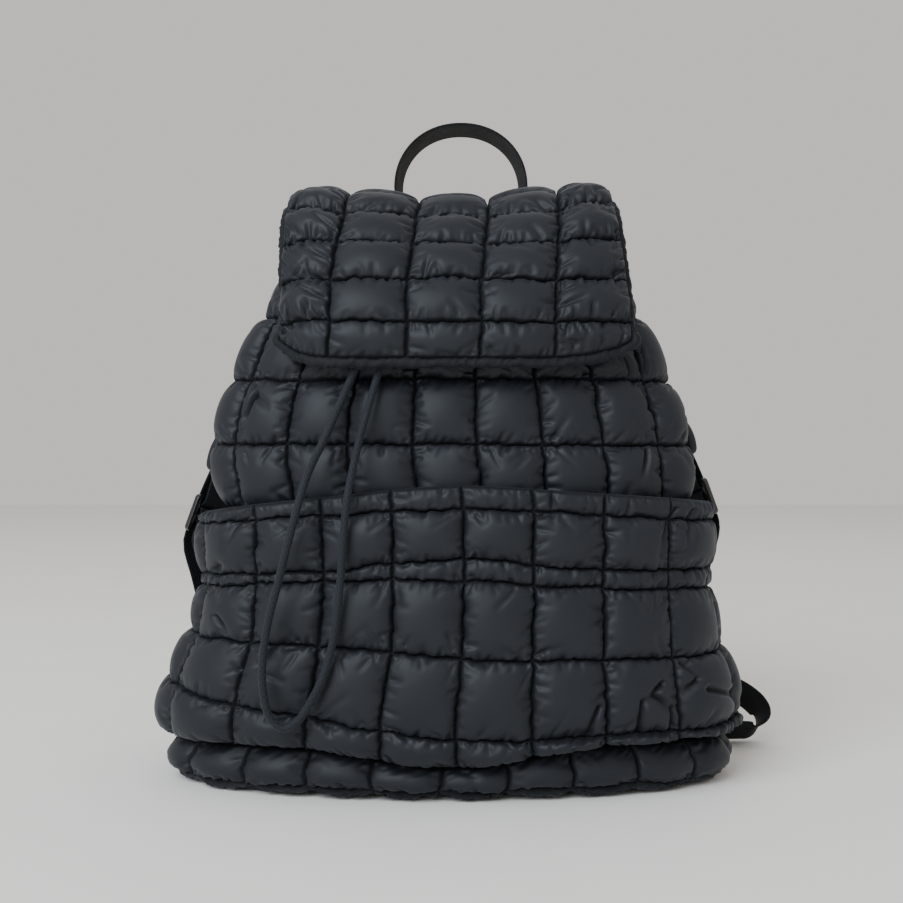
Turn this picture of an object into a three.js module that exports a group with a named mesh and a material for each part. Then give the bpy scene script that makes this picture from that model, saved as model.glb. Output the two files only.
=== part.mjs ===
// Quilted puffer backpack, standing upright on its base.
// Millimetres, +Z up, the front faces -Y. The origin is the middle of the base's underside.
import * as THREE from "three";

// Bag: the sizes are those of the surface that the stitch lines lie in.
const BAG_HEIGHT = 348; // floor to the top of the gathered neck
const HALF_WIDTH = 165;
const FRONT_DEPTH = 66; // from the middle plane to the front
const BACK_DEPTH = 70; // from the middle plane to the back
const FRONT_ROUNDNESS = 2.3; // 2 is an ellipse, more is boxier
const BACK_ROUNDNESS = 4;
const SIDE_SEAM_TURN = THREE.MathUtils.degToRad(128); // round from the front centre
const CLOTH = 2.5; // two layers of cloth and the flattened filling at a stitch line
const GAP = 0.3; // between two pieces that touch
const SEAM_GAP = 1; // between two panels sewn edge to edge

// Quilting
const QUILT_PITCH = 38.5;
const PUFF = 8; // how far a full square stands out from its stitch lines
const PRESSED_PUFF = 4; // room for the pressed filling where the pocket is sewn down
const MOUTH_PUFF = 2; // just under the pocket's elastic edge
const BACK_PUFF = 6;
// Samples across one square, and the share of the puff at each. both: the inner face has it too
const CUSHION = [{ at: 0, rise: 0 }, { at: 0.2, rise: 1 }, { at: 0.8, rise: 1 }];
const LOW_CUSHION = [{ at: 0, rise: 0 }, { at: 0.5, rise: 1, both: true }];

// Pocket round the front and sides
const POCKET_ROOM = 15.5; // how far it stands off the bag's wall
const CASING_PUFF = 4; // the gathered band that holds the elastic
const WAIST_PUFF = 5; // the narrow band under the first row of squares
const POCKET_MIDDLE_SHIFT = 0.09; // column pitches from the centre to the first stitch line
const BODY_MIDDLE_SHIFT = 0.4;

// Base
const BASE_PUFF = 6;

// Neck
const NECK_HEIGHT = 21; // the gathered part at the top
const NECK_START = BAG_HEIGHT - NECK_HEIGHT;
const NECK_PLEATS = 20;
const NECK_PLEAT_DEPTH = 3.2;

// Flap
const FLAP_HALF_WIDTH = 110;
const FLAP_PUFF = 8;
const FLAP_ROOT_PUFF = 2.5;
const FLAP_BORDER_PUFF = 5;
const FLAP_BORDER = 21; // the stitched border along its front edge
const FLAP_CORNER = 15; // how far the corners are rounded off
const PIPING_RADIUS = 3.2;

// Webbing, straps and buckles
const WEBBING_WIDTH = 25;
const WEBBING_THICKNESS = 1.6;
const HANDLE_FOOT = 7; // from the neck's foot up to the handle's stitching
const HANDLE_HALF_SPAN = 43.5;
const HANDLE_RISE = 97; // from its stitching to its top
const HANDLE_LEG = 55; // the straight part at each end
const HANDLE_ROUNDNESS = 2.1;
const HANDLE_TILT = 0.12; // the arch shows its underside to the front
const HANDLE_SHIFT = 6.5; // it is sewn a little to the right
const HANDLE_LEAN = 4; // how far its arch stands behind its stitching
const STRAP_WIDTH = 56;
const STRAP_THICKNESS = 10;
const LOCK_WIDTH = 35;
const LOCK_BAR = 4;
const LOCK_SLOT = 7.5;
const LOCK_THICKNESS = 4;
const STRAP_TIP = 14; // the straight end of a shoulder strap
const STRAP_CLEARANCE = 16; // from a strap's end to its turn of webbing
const WEBBING_LEAD = 8; // below the buckle's middle bar, where the webbing leaves it
const WEBBING_BEND = 18; // below it, where the tail and the run begin to bend

// Drawstring
const CORD_RADIUS = 2;

// Each table holds shares of the sizes named beside it.
// up: BAG_HEIGHT, wide and shift: HALF_WIDTH, front: FRONT_DEPTH, back: BACK_DEPTH
const BAG_SECTIONS = [
  { up: 0.057, wide: 1.03, shift: 0, front: 1.09, back: 0.95 },
  { up: 0.13, wide: 0.985, shift: -0.01, front: 1.03, back: 0.98 },
  { up: 0.23, wide: 0.882, shift: 0.01, front: 1.0, back: 1.0 },
  { up: 0.345, wide: 0.85, shift: 0.02, front: 1.0, back: 1.0 },
  { up: 0.474, wide: 0.865, shift: 0.02, front: 1.0, back: 1.0 },
  { up: 0.549, wide: 0.9, shift: 0.01, front: 1.0, back: 1.0 },
  { up: 0.603, wide: 0.9, shift: 0, front: 0.985, back: 1.0 },
  { up: 0.716, wide: 0.83, shift: 0, front: 0.9, back: 0.97 },
  { up: 0.833, wide: 0.71, shift: 0, front: 0.735, back: 0.914 },
  { up: 0.891, wide: 0.635, shift: 0, front: 0.63, back: 0.871 },
  { up: 0.94, wide: 0.55, shift: 0, front: 0.5, back: 0.814 },
  { up: 1.0, wide: 0.36, shift: 0, front: 0.33, back: 0.62 },
];

// Stitch lines round the front, from the base seam to the pocket's elastic edge.
// Shares of BAG_HEIGHT at the left side, left of centre, centre, right of centre and right side.
const POCKET_LINES = [
  { name: "base seam", left: 0.078, midLeft: 0.085, centre: 0.057, midRight: 0.088, right: 0.078 },
  { name: "lowest squares", left: 0.158, midLeft: 0.155, centre: 0.116, midRight: 0.113, right: 0.095 },
  { name: "lower squares", left: 0.244, midLeft: 0.263, centre: 0.246, midRight: 0.239, right: 0.213 },
  { name: "waist band foot", left: 0.343, midLeft: 0.371, centre: 0.373, midRight: 0.361, right: 0.342 },
  { name: "waist band top", left: 0.366, midLeft: 0.388, centre: 0.412, midRight: 0.391, right: 0.384 },
  { name: "casing stitches", left: 0.468, midLeft: 0.483, centre: 0.493, midRight: 0.484, right: 0.468 },
  { name: "elastic edge", left: 0.491, midLeft: 0.514, centre: 0.532, midRight: 0.52, right: 0.506 },
];
const LINE_STATIONS = [-1, -0.79, -0.34, 0, 0.34, 0.79, 1]; // shares of the way to the side seams

// puff: shares of PUFF for each row of the pocket, from the base up.
const POCKET_PUFFS = [1, 1.06, 1.06, WAIST_PUFF / PUFF, 1, CASING_PUFF / PUFF];

// stand: share of POCKET_ROOM between the pocket and the bag. up: share of BAG_HEIGHT.
const POCKET_STAND = [
  { up: 0.05, stand: 0 },
  { up: 0.1, stand: 0.62 },
  { up: 0.16, stand: 0.95 },
  { up: 0.24, stand: 1 },
  { up: 0.345, stand: 0.86 },
  { up: 0.4, stand: 0.84 },
  { up: 0.46, stand: 0.84 },
  { up: 0.55, stand: 0.8 },
];

// Stitch lines of the bag itself. up: share of BAG_HEIGHT.
// puff: of the row above the line.
const HIDDEN_ROWS = 4; // behind the pocket, where the filling is pressed flat
const BODY_LINES = [
  { up: 0.16, puff: 0 },
  { up: 0.27, puff: 0 },
  { up: 0.38, puff: MOUTH_PUFF },
  { up: 0.491, puff: PUFF },
  { up: 0.603, puff: PUFF },
  { up: 0.716, puff: PUFF },
  { up: 0.833, puff: PUFF },
];

// The flap's middle line from its front edge over the top to its root on the back.
// out: share of FRONT_DEPTH forwards, or of BACK_DEPTH backwards; up: share of BAG_HEIGHT
const FLAP_PROFILE = [
  { out: -1.22, up: 0.748 },
  { out: -1.24, up: 0.799 },
  { out: -1.03, up: 0.885 },
  { out: -0.7, up: 0.961 },
  { out: -0.29, up: 1.025 },
  { out: 0.17, up: 1.054 },
  { out: 0.56, up: 1.041 },
  { out: 0.79, up: 1.0 },
];
// Lengthwise stitch lines of the flap. front and rear: shares of FLAP_HALF_WIDTH sideways;
// fall: how far the cloth falls back there, in shares of FLAP_HALF_WIDTH
const FLAP_COLUMNS = [
  { across: -1, front: -0.9, rear: -0.93, frontFall: 0.2, rearFall: 0.03 },
  { across: -0.6, front: -0.65, rear: -0.6, frontFall: 0.03, rearFall: -0.04 },
  { across: -0.2, front: -0.235, rear: -0.19, frontFall: 0.0, rearFall: -0.01 },
  { across: 0.2, front: 0.155, rear: 0.215, frontFall: 0.0, rearFall: -0.01 },
  { across: 0.6, front: 0.555, rear: 0.62, frontFall: 0.045, rearFall: -0.055 },
  { across: 1, front: 0.98, rear: 0.93, frontFall: 0.17, rearFall: 0.02 },
];
const FLAP_ROWS = 8;

// Stitch lines of the base, from rim to rim: shares of its half width and half depth
const BASE_COLUMNS = [-1, -0.86, -0.72, -0.56, -0.4, -0.235, -0.06, 0.13, 0.33, 0.53, 0.7, 0.86, 1];
const BASE_ROWS = [-1, -0.8, -0.27, 0.27, 0.8, 1];
// The base from its middle to its rim. reach: share of the way out;
// scale: share of the base seam's outline; turned: share of the way up to the seam
const BASE_RIM = [
  { reach: 0, scale: 0, turned: 0 },
  { reach: 0.8, scale: 0.98, turned: 0 },
  { reach: 0.86, scale: 1.035, turned: 0.07 },
  { reach: 0.93, scale: 1.045, turned: 0.42 },
  { reach: 1, scale: 1, turned: 1 },
];

// The shoulder strap down the back. across: share of HALF_WIDTH; up: BAG_HEIGHT; away: STRAP_BOW
const STRAP_BOW = 30;
const STRAP_ROUTE = [
  { across: 0.235, up: 0.915, away: 0, wide: 0.75 },
  { across: 0.3, up: 0.865, away: 0.1, wide: 0.95 },
  { across: 0.42, up: 0.8, away: 0.5, wide: 1 },
  { across: 0.58, up: 0.73, away: 0.8, wide: 1 },
  { across: 0.76, up: 0.67, away: 0.7, wide: 0.85 },
];
// The buckle hangs from the strap's end.
// left and right: its height on each side, a share of BAG_HEIGHT
const LOCK_PLACE = { across: 1.045, out: 1.2, left: 0.457, right: 0.49 };
const LOCK_DOWN = new THREE.Vector3(0.32, -0.1, -0.94);
const LOCK_OUT = new THREE.Vector3(0.8, 0.6, 0);
const TAIL_LENGTH = 62;
const TAIL_SWING = { inward: 15, back: 1.5 }; // how far its end hangs off to the side

// Lower webbing from the buckle to the base. across: HALF_WIDTH; out: BACK_DEPTH; up: BAG_HEIGHT
const SLACK_WEBBING = [
  { across: 0.95, out: 1.25, up: 0.3 },
  { across: 1.0, out: 1.26, up: 0.2 },
  { across: 1.13, out: 1.2, up: 0.13 },
  { across: 1.27, out: 1.13, up: 0.092 },
  { across: 1.325, out: 1.07, up: 0.06 },
  { across: 1.29, out: 1.05, up: 0.027 },
  { across: 1.19, out: 1.05, up: 0.012 },
  { across: 1.05, out: 1.05, up: 0.016 },
  { across: 0.93, out: 1.09, up: 0.045 },
  { across: 0.86, out: 1.07, up: 0.085 },
  { across: 0.8, out: 1.03, up: 0.11 },
];
const STRAIGHT_WEBBING = [
  { across: 0.94, out: 1.27, up: 0.3 },
  { across: 0.93, out: 1.28, up: 0.2 },
  { across: 0.92, out: 1.24, up: 0.12 },
  { across: 0.9, out: 1.14, up: 0.085 },
  { across: 0.8, out: 1.03, up: 0.1 },
];

// The drawstring's loop from the neck under the flap, down the front and back. Millimetres.
const DRAWSTRING_ROUTE = [
  [-6, -33, 339],
  [-14, -43.5, 331],
  [-24, -55, 314],
  [-36, -65, 294],
  [-48, -71.5, 272],
  [-58.5, -72, 250],
  [-66, -76, 232],
  [-74, -80.5, 213],
  [-82, -87, 195],
  [-87, -92.5, 178],
  [-93, -93.5, 155],
  [-99, -93.5, 131],
  [-105, -93.5, 107],
  [-108, -93.5, 84],
  [-107.5, -93, 68],
  [-104, -92.5, 54],
  [-96.5, -92.5, 47.5],
  [-88, -93, 52],
  [-80, -93.5, 64],
  [-73, -94, 78],
  [-68, -94, 96],
  [-65, -94, 116],
  [-63, -94, 138],
  [-61.5, -94, 160],
  [-59.5, -92.5, 180],
  [-56.5, -86, 198],
  [-53, -80.5, 215],
  [-48, -77, 234],
  [-43, -72.5, 252],
  [-36, -70, 273],
  [-28, -65.5, 294],
  [-18, -54.5, 313],
  [-7, -45.5, 328],
  [6, -33.5, 339],
];

const nylon = new THREE.MeshStandardMaterial({ color: 0x26282d, roughness: 0.55, metalness: 0 });
const webbing = new THREE.MeshStandardMaterial({ color: 0x191b1f, roughness: 0.8, metalness: 0 });
const cordCloth = new THREE.MeshStandardMaterial({ color: 0x23272b, roughness: 0.75, metalness: 0 });
const plastic = new THREE.MeshStandardMaterial({ color: 0x0c0d0f, roughness: 0.35, metalness: 0 });

// A smooth curve through the points (xs, ys), read at x.
function smooth(xs, ys, x) {
  let i = 0;
  while (i < xs.length - 2 && x > xs[i + 1]) i += 1;
  const slope = (a, b) => (ys[b] - ys[a]) / (xs[b] - xs[a]);
  const bend = (k) => slope(Math.max(k - 1, 0), Math.min(k + 1, xs.length - 1));
  const width = xs[i + 1] - xs[i];
  const t = THREE.MathUtils.clamp((x - xs[i]) / width, -0.2, 1.2);
  const t2 = t * t;
  const t3 = t2 * t;
  return (
    (2 * t3 - 3 * t2 + 1) * ys[i] +
    (t3 - 2 * t2 + t) * bend(i) * width +
    (3 * t2 - 2 * t3) * ys[i + 1] +
    (t3 - t2) * bend(i + 1) * width
  );
}

const readTable = (rows, by, column, x) =>
  smooth(
    rows.map((row) => row[by]),
    rows.map((row) => row[column]),
    x,
  );

function sectionAt(height) {
  const up = height / BAG_HEIGHT;
  return {
    halfWidth: HALF_WIDTH * readTable(BAG_SECTIONS, "up", "wide", up),
    shift: HALF_WIDTH * readTable(BAG_SECTIONS, "up", "shift", up),
    front: FRONT_DEPTH * readTable(BAG_SECTIONS, "up", "front", up),
    back: BACK_DEPTH * readTable(BAG_SECTIONS, "up", "back", up),
  };
}

// A point of the bag's outline. turn: 0 at the front centre, a right angle at the right side.
function outlinePoint(section, turn, height) {
  const sine = Math.sin(turn);
  const cosine = Math.cos(turn);
  const roundness = cosine > 0 ? FRONT_ROUNDNESS : BACK_ROUNDNESS;
  const depth = cosine > 0 ? section.front : section.back;
  const reach = (Math.abs(sine) ** roundness + Math.abs(cosine) ** roundness) ** (-1 / roundness);
  return new THREE.Vector3(section.shift + section.halfWidth * reach * sine, -depth * reach * cosine, height);
}

// Lengths along the outline from one turn to another.
const ARC_STEPS = 72;
function arcTable(section, fromTurn, toTurn) {
  const turns = [fromTurn];
  const lengths = [0];
  let last = outlinePoint(section, fromTurn, 0);
  for (let i = 1; i <= ARC_STEPS; i += 1) {
    const turn = THREE.MathUtils.lerp(fromTurn, toTurn, i / ARC_STEPS);
    const next = outlinePoint(section, turn, 0);
    turns.push(turn);
    lengths.push(lengths[i - 1] + next.distanceTo(last));
    last = next;
  }
  return { turns, lengths, whole: lengths[ARC_STEPS] };
}

function turnAtShare(arc, share) {
  const wanted = share * arc.whole;
  let i = 0;
  while (i < arc.lengths.length - 2 && arc.lengths[i + 1] < wanted) i += 1;
  const t = (wanted - arc.lengths[i]) / (arc.lengths[i + 1] - arc.lengths[i]);
  return THREE.MathUtils.lerp(arc.turns[i], arc.turns[i + 1], t);
}

// The wall round the front. across: -1 at the left side seam, 0 at the centre, 1 at the right.
function frontWall(across, height) {
  const section = sectionAt(height);
  const arc = arcTable(section, 0, SIDE_SEAM_TURN);
  const turn = turnAtShare(arc, Math.abs(across)) * Math.sign(across);
  return outlinePoint(section, turn, height);
}

// The wall across the back. across: -1 at the left side seam, 1 at the right.
function backWall(across, height) {
  const section = sectionAt(height);
  const arc = arcTable(section, Math.PI, SIDE_SEAM_TURN);
  const turn = turnAtShare(arc, Math.abs(across));
  return outlinePoint(section, across < 0 ? -turn : turn, height);
}

function lineHeight(line, across) {
  const { left, midLeft, centre, midRight, right } = line;
  return BAG_HEIGHT * smooth(LINE_STATIONS, [left, left, midLeft, centre, midRight, right, right], across);
}

const seamHeight = (across) => lineHeight(POCKET_LINES[0], across);
const BACK_SEAM_HEIGHT = seamHeight(1);

// Moves a point of a surface out along its normal.
function lifted(surface, across, along, lift) {
  const STEP = 1e-3;
  const point = surface(across, along);
  const sideways = surface(across + STEP, along).sub(surface(across - STEP, along));
  const upwards = surface(across, along + STEP).sub(surface(across, along - STEP));
  return point.addScaledVector(sideways.cross(upwards).normalize(), lift);
}

// Sample places between the edges of squares, and the rise of the cushion at each.
function cushionSamples(edges, cushionOf = () => CUSHION) {
  const samples = [];
  for (let i = 0; i < edges.length - 1; i += 1) {
    const whole = edges[i + 1] - edges[i];
    for (const { at, rise, both } of cushionOf(i)) {
      samples.push({ at: edges[i] + at * whole, rise, both: both || at === 0, cell: i });
    }
  }
  samples.push({ at: edges[edges.length - 1], rise: 0, both: true, cell: edges.length - 2 });
  return samples;
}

function meshOf(points, faces) {
  const signed = faces.reduce((sum, [a, b, c]) => {
    return sum + points[a].dot(new THREE.Vector3().crossVectors(points[b], points[c]));
  }, 0);
  const turned = signed < 0 ? faces.map(([a, b, c]) => [a, c, b]) : faces;
  const geometry = new THREE.BufferGeometry().setFromPoints(points);
  geometry.setIndex(turned.flat());
  geometry.computeVertexNormals();
  return geometry;
}

// Joins closed loops of equal length side by side. A closed sweep joins its last loop to its first;
// an open one gets an end wall between the first `face` points of the end loop and the rest.
function skinLoops(loops, closed, face = 0) {
  const size = loops[0].length;
  const points = loops.flat();
  const faces = [];
  const spans = closed ? loops.length : loops.length - 1;
  for (let i = 0; i < spans; i += 1) {
    const here = i * size;
    const there = ((i + 1) % loops.length) * size;
    for (let j = 0; j < size; j += 1) {
      const k = (j + 1) % size;
      faces.push([here + j, there + j, there + k], [here + j, there + k, here + k]);
    }
  }
  if (!closed) {
    for (const [start, flip] of [[0, false], [(loops.length - 1) * size, true]]) {
      let outer = 0;
      let inner = size - 1;
      const apart = (a, b) => {
        const across = a < face && b >= face;
        return across ? points[start + a].distanceTo(points[start + b]) : Infinity;
      };
      while (outer < face - 1 || inner > face) {
        const stepOuter = apart(outer + 1, inner) <= apart(outer, inner - 1);
        const next = stepOuter ? outer + 1 : inner - 1;
        const triangle = [start + outer, start + next, start + inner];
        faces.push(flip ? triangle.reverse() : triangle);
        if (stepOuter) outer = next;
        else inner = next;
      }
    }
  }
  return meshOf(points, faces);
}

// A padded panel: a cushioned outer face over a flat inner one, closed all round.
function quiltedPanel(surface, columnEdges, rowEdges, puffAt, columnCushion, rowCushion) {
  const across = cushionSamples(columnEdges, columnCushion);
  const along = cushionSamples(rowEdges, rowCushion);
  const innerRows = along.filter((row) => row.both).reverse();
  const loops = across.map((column) => {
    const outer = along.map((row) => {
      const lift = puffAt(column.cell, row.cell) * column.rise * row.rise;
      return lifted(surface, column.at, row.at, lift);
    });
    const inner = innerRows.map((row) => lifted(surface, column.at, row.at, -CLOTH));
    return [...outer, ...inner];
  });
  return skinLoops(loops, false, along.length);
}

// Column edges a pitch apart between two ends, with the first line `shift` pitches off the centre.
function columnEdges(halfLength, shift) {
  const edges = [-1];
  const pitch = QUILT_PITCH / halfLength;
  const SLIVER = 0.3; // a part of a square narrower than this joins its neighbour
  for (let at = shift * pitch - Math.floor(1 / pitch + 1) * pitch; at < 1; at += pitch) {
    if (at > -1 + SLIVER * pitch && at < 1 - SLIVER * pitch) edges.push(at);
  }
  edges.push(1);
  return edges;
}

function halfLengthAt(height) {
  return arcTable(sectionAt(height), 0, SIDE_SEAM_TURN).whole;
}

const bodyLineHeights = BODY_LINES.map((line) => line.up * BAG_HEIGHT);
const bodyCushion = (row) => (row < HIDDEN_ROWS ? LOW_CUSHION : CUSHION);

// The bag's wall from side seam to side seam round the front
function frontPanel() {
  const inset = 1 - SEAM_GAP / halfLengthAt(BAG_HEIGHT / 2);
  const rows = BODY_LINES.length + 1;
  const heightAt = (across, row) => {
    const lines = [seamHeight(across) + SEAM_GAP, ...bodyLineHeights, NECK_START];
    const i = THREE.MathUtils.clamp(Math.floor(row), 0, rows - 1);
    return THREE.MathUtils.lerp(lines[i], lines[i + 1], row - i);
  };
  const surface = (across, row) => frontWall(across * inset, heightAt(across, row));
  const columns = columnEdges(halfLengthAt(BODY_LINES[4].up * BAG_HEIGHT), BODY_MIDDLE_SHIFT);
  const rowEdges = Array.from({ length: rows + 1 }, (_, i) => i);
  const puffs = [0, ...BODY_LINES.map((line) => line.puff)];
  return quiltedPanel(surface, columns, rowEdges, (column, row) => puffs[row], undefined, bodyCushion);
}

function backPanel() {
  const rows = BODY_LINES.length + 1;
  const lines = [BACK_SEAM_HEIGHT + SEAM_GAP, ...bodyLineHeights, NECK_START];
  const surface = (across, row) => {
    const i = THREE.MathUtils.clamp(Math.floor(row), 0, rows - 1);
    return backWall(-across, THREE.MathUtils.lerp(lines[i], lines[i + 1], row - i));
  };
  const halfLength = arcTable(sectionAt(BAG_HEIGHT / 2), Math.PI, SIDE_SEAM_TURN).whole;
  const rowEdges = Array.from({ length: rows + 1 }, (_, i) => i);
  const columns = columnEdges(halfLength, 0);
  return quiltedPanel(surface, columns, rowEdges, () => BACK_PUFF, () => LOW_CUSHION, bodyCushion);
}

// How far the pocket's stitch surface stands off the bag's
function pocketStand(across, height) {
  const SEWN = 10; // a high power keeps the room up to the last square before the side seam
  const share = readTable(POCKET_STAND, "up", "stand", height / BAG_HEIGHT);
  return CLOTH + PRESSED_PUFF + POCKET_ROOM * share * (1 - Math.abs(across) ** SEWN);
}

function pocketSurface(across, row) {
  const rows = POCKET_LINES.length - 1;
  const i = THREE.MathUtils.clamp(Math.floor(row), 0, rows - 1);
  const low = lineHeight(POCKET_LINES[i], across);
  const high = lineHeight(POCKET_LINES[i + 1], across);
  const height = THREE.MathUtils.lerp(low, high, row - i) + SEAM_GAP;
  return lifted(frontWall, across, height, pocketStand(across, height));
}

function pocketPanel() {
  const columns = columnEdges(halfLengthAt(POCKET_LINES[3].centre * BAG_HEIGHT), POCKET_MIDDLE_SHIFT);
  const rowEdges = POCKET_LINES.map((_, i) => i);
  const inset = 1 - GAP / halfLengthAt(BAG_HEIGHT / 2);
  const surface = (across, row) => pocketSurface(across * inset, row);
  const rowCushion = (row) => (POCKET_PUFFS[row] < 1 ? LOW_CUSHION : CUSHION);
  const puffAt = (column, row) => PUFF * POCKET_PUFFS[row];
  return quiltedPanel(surface, columns, rowEdges, puffAt, undefined, rowCushion);
}

// The base: a square quilting grid drawn into the bag's oval, its rim turned up to the base seam
function basePanel() {
  const surface = (p, q) => {
    const x = p * Math.sqrt(Math.max(1 - (q * q) / 2, 0));
    const y = q * Math.sqrt(Math.max(1 - (p * p) / 2, 0));
    const reach = Math.hypot(x, y);
    const turn = Math.atan2(x, -y);
    const nearSeam = sectionAt(BACK_SEAM_HEIGHT);
    const arc = arcTable(nearSeam, 0, SIDE_SEAM_TURN);
    let across = 1;
    if (Math.abs(turn) < SIDE_SEAM_TURN) {
      across = arc.lengths[Math.round((Math.abs(turn) / SIDE_SEAM_TURN) * ARC_STEPS)] / arc.whole;
    }
    const front = seamHeight(across * Math.sign(turn || 1));
    const blend = THREE.MathUtils.smoothstep(Math.abs(turn), SIDE_SEAM_TURN, Math.PI);
    const rim = THREE.MathUtils.lerp(front, BACK_SEAM_HEIGHT, blend);
    const beyond = BASE_RIM.findIndex((row) => reach < row.reach);
    const i = (beyond < 0 ? BASE_RIM.length - 1 : beyond) - 1;
    const t = (reach - BASE_RIM[i].reach) / (BASE_RIM[i + 1].reach - BASE_RIM[i].reach);
    const scale = THREE.MathUtils.lerp(BASE_RIM[i].scale, BASE_RIM[i + 1].scale, t);
    const turned = THREE.MathUtils.lerp(BASE_RIM[i].turned, BASE_RIM[i + 1].turned, t);
    const point = outlinePoint(sectionAt(rim), turn, 0).multiplyScalar(scale);
    point.z = THREE.MathUtils.lerp(BASE_PUFF, rim, turned);
    return point;
  };
  const points = [];
  const faces = [];
  // One face of the panel, with the indexes of its rim in order
  const layer = (columns, rows, flip) => {
    const first = points.length;
    for (const column of columns) {
      for (const row of rows) {
        const p = THREE.MathUtils.clamp(column.at, -WITHIN, WITHIN);
        const q = THREE.MathUtils.clamp(row.at, -WITHIN, WITHIN);
        points.push(lifted(surface, p, q, flip ? CLOTH : -BASE_PUFF * column.rise * row.rise));
      }
    }
    const index = (i, j) => first + i * rows.length + j;
    const lastColumn = columns.length - 1;
    const lastRow = rows.length - 1;
    for (let i = 0; i < lastColumn; i += 1) {
      for (let j = 0; j < lastRow; j += 1) {
        const square = [index(i, j), index(i, j + 1), index(i + 1, j + 1), index(i + 1, j)];
        if (flip) square.reverse();
        faces.push([square[0], square[1], square[2]], [square[0], square[2], square[3]]);
      }
    }
    const rim = [];
    for (let i = 0; i < lastColumn; i += 1) rim.push(index(i, 0));
    for (let j = 0; j < lastRow; j += 1) rim.push(index(lastColumn, j));
    for (let i = lastColumn; i > 0; i -= 1) rim.push(index(i, lastRow));
    for (let j = lastRow; j > 0; j -= 1) rim.push(index(0, j));
    return rim;
  };
  const WITHIN = 0.9985; // keeps the rim's normals defined
  const plain = (edges) => edges.map((at) => ({ at, rise: 0 }));
  const outer = layer(cushionSamples(BASE_COLUMNS), cushionSamples(BASE_ROWS), false);
  const inner = layer(plain(BASE_COLUMNS), plain(BASE_ROWS), true);
  inner.forEach((start, k) => {
    const end = inner[(k + 1) % inner.length];
    const [a, b, c, d] = [0, 1, 2, 3].map((n) => outer[(CUSHION.length * k + n) % outer.length]);
    faces.push([a, b, start], [b, c, start], [c, end, start], [c, d, end]);
  });
  return meshOf(points, faces);
}

// The neck, drawn together into pleats above the bag's walls
function neckGather() {
  const levels = [
    { up: 0, pleat: 0 },
    { up: 0.45, pleat: 0.8 },
    { up: 0.8, pleat: 1 },
    { up: 1, pleat: 0.7 },
  ];
  const SAMPLES = 2; // for each pleat
  const loops = [];
  for (let i = 0; i < NECK_PLEATS * SAMPLES; i += 1) {
    const share = (2 * i) / (NECK_PLEATS * SAMPLES);
    const wave = Math.cos((2 * Math.PI * i) / SAMPLES);
    const place = (level, lift) => {
      const height = THREE.MathUtils.lerp(NECK_START + GAP, BAG_HEIGHT, level.up);
      const wall = (across, up) => {
        const section = sectionAt(up);
        const arc = arcTable(section, 0, Math.PI);
        const folded = across > 1 ? 2 - across : across;
        return outlinePoint(section, turnAtShare(arc, Math.abs(folded)) * Math.sign(across > 1 ? -1 : 1), up);
      };
      const NUDGE = 1e-4; // keeps off the ends of the outline's two halves
      return lifted(wall, THREE.MathUtils.clamp(share, NUDGE * 2, 2 - NUDGE * 2) || NUDGE, height, lift);
    };
    const fold = (level) => (wave - 1) * level.pleat * NECK_PLEAT_DEPTH;
    const outer = levels.map((level) => place(level, fold(level)));
    const inner = levels.map((level) => place(level, fold(level) - CLOTH));
    const loop = [...outer, ...inner.reverse()];
    for (const point of loop) point.z = Math.max(point.z, NECK_START + GAP);
    loops.push(loop);
  }
  return skinLoops(loops, true);
}

// The flap's middle line, with its root just outside the neck's foot
function flapLine() {
  const points = FLAP_PROFILE.map(({ out, up }) => {
    return new THREE.Vector3(0, out * (out < 0 ? FRONT_DEPTH : BACK_DEPTH), up * BAG_HEIGHT);
  });
  const root = sectionAt(NECK_START).back + GAP + CLOTH;
  points.push(new THREE.Vector3(0, root, NECK_START + GAP));
  return new THREE.CatmullRomCurve3(points, false, "centripetal");
}

function flapSurface() {
  const line = flapLine();
  const length = line.getLength();
  const stations = FLAP_COLUMNS.map((column) => column.across);
  const surface = (across, along) => {
    const t = THREE.MathUtils.clamp(along / length, 0, 1);
    const point = line.getPointAt(t);
    const forward = line.getTangentAt(t);
    const inward = new THREE.Vector3(0, forward.z, -forward.y);
    const rearShare = THREE.MathUtils.smoothstep(t, 0.1, 0.6);
    const column = (front, rear) => {
      const values = FLAP_COLUMNS.map((c) => THREE.MathUtils.lerp(c[front], c[rear], rearShare));
      return FLAP_HALF_WIDTH * smooth(stations, values, across);
    };
    point.x = column("front", "rear");
    const rooted = 1 - THREE.MathUtils.smoothstep(t, 0.72, 1);
    return point.addScaledVector(inward, column("frontFall", "rearFall") * rooted);
  };
  return { surface, length };
}

// How far back from the front edge the rounded corners begin
function flapEdge(across) {
  const START = 0.55;
  const share = THREE.MathUtils.clamp((Math.abs(across) - START) / (1 - START), 0, 1);
  return FLAP_CORNER * (1 - Math.sqrt(1 - share * share));
}

function flapPanel() {
  const { surface, length } = flapSurface();
  const edges = [0, FLAP_BORDER];
  const pitch = (length - FLAP_BORDER) / (FLAP_ROWS - 1);
  for (let i = 1; i < FLAP_ROWS; i += 1) edges.push(FLAP_BORDER + i * pitch);
  const trimmed = (across, along) => {
    const start = flapEdge(across);
    const squeezed = along < FLAP_BORDER ? start + (along * (FLAP_BORDER - start)) / FLAP_BORDER : along;
    return surface(across, squeezed);
  };
  const columns = FLAP_COLUMNS.map((column) => column.across);
  const puffAt = (column, row) => {
    if (row === 0) return FLAP_BORDER_PUFF;
    return row === FLAP_ROWS - 1 ? FLAP_ROOT_PUFF : FLAP_PUFF;
  };
  return quiltedPanel(trimmed, columns, edges, puffAt);
}

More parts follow.
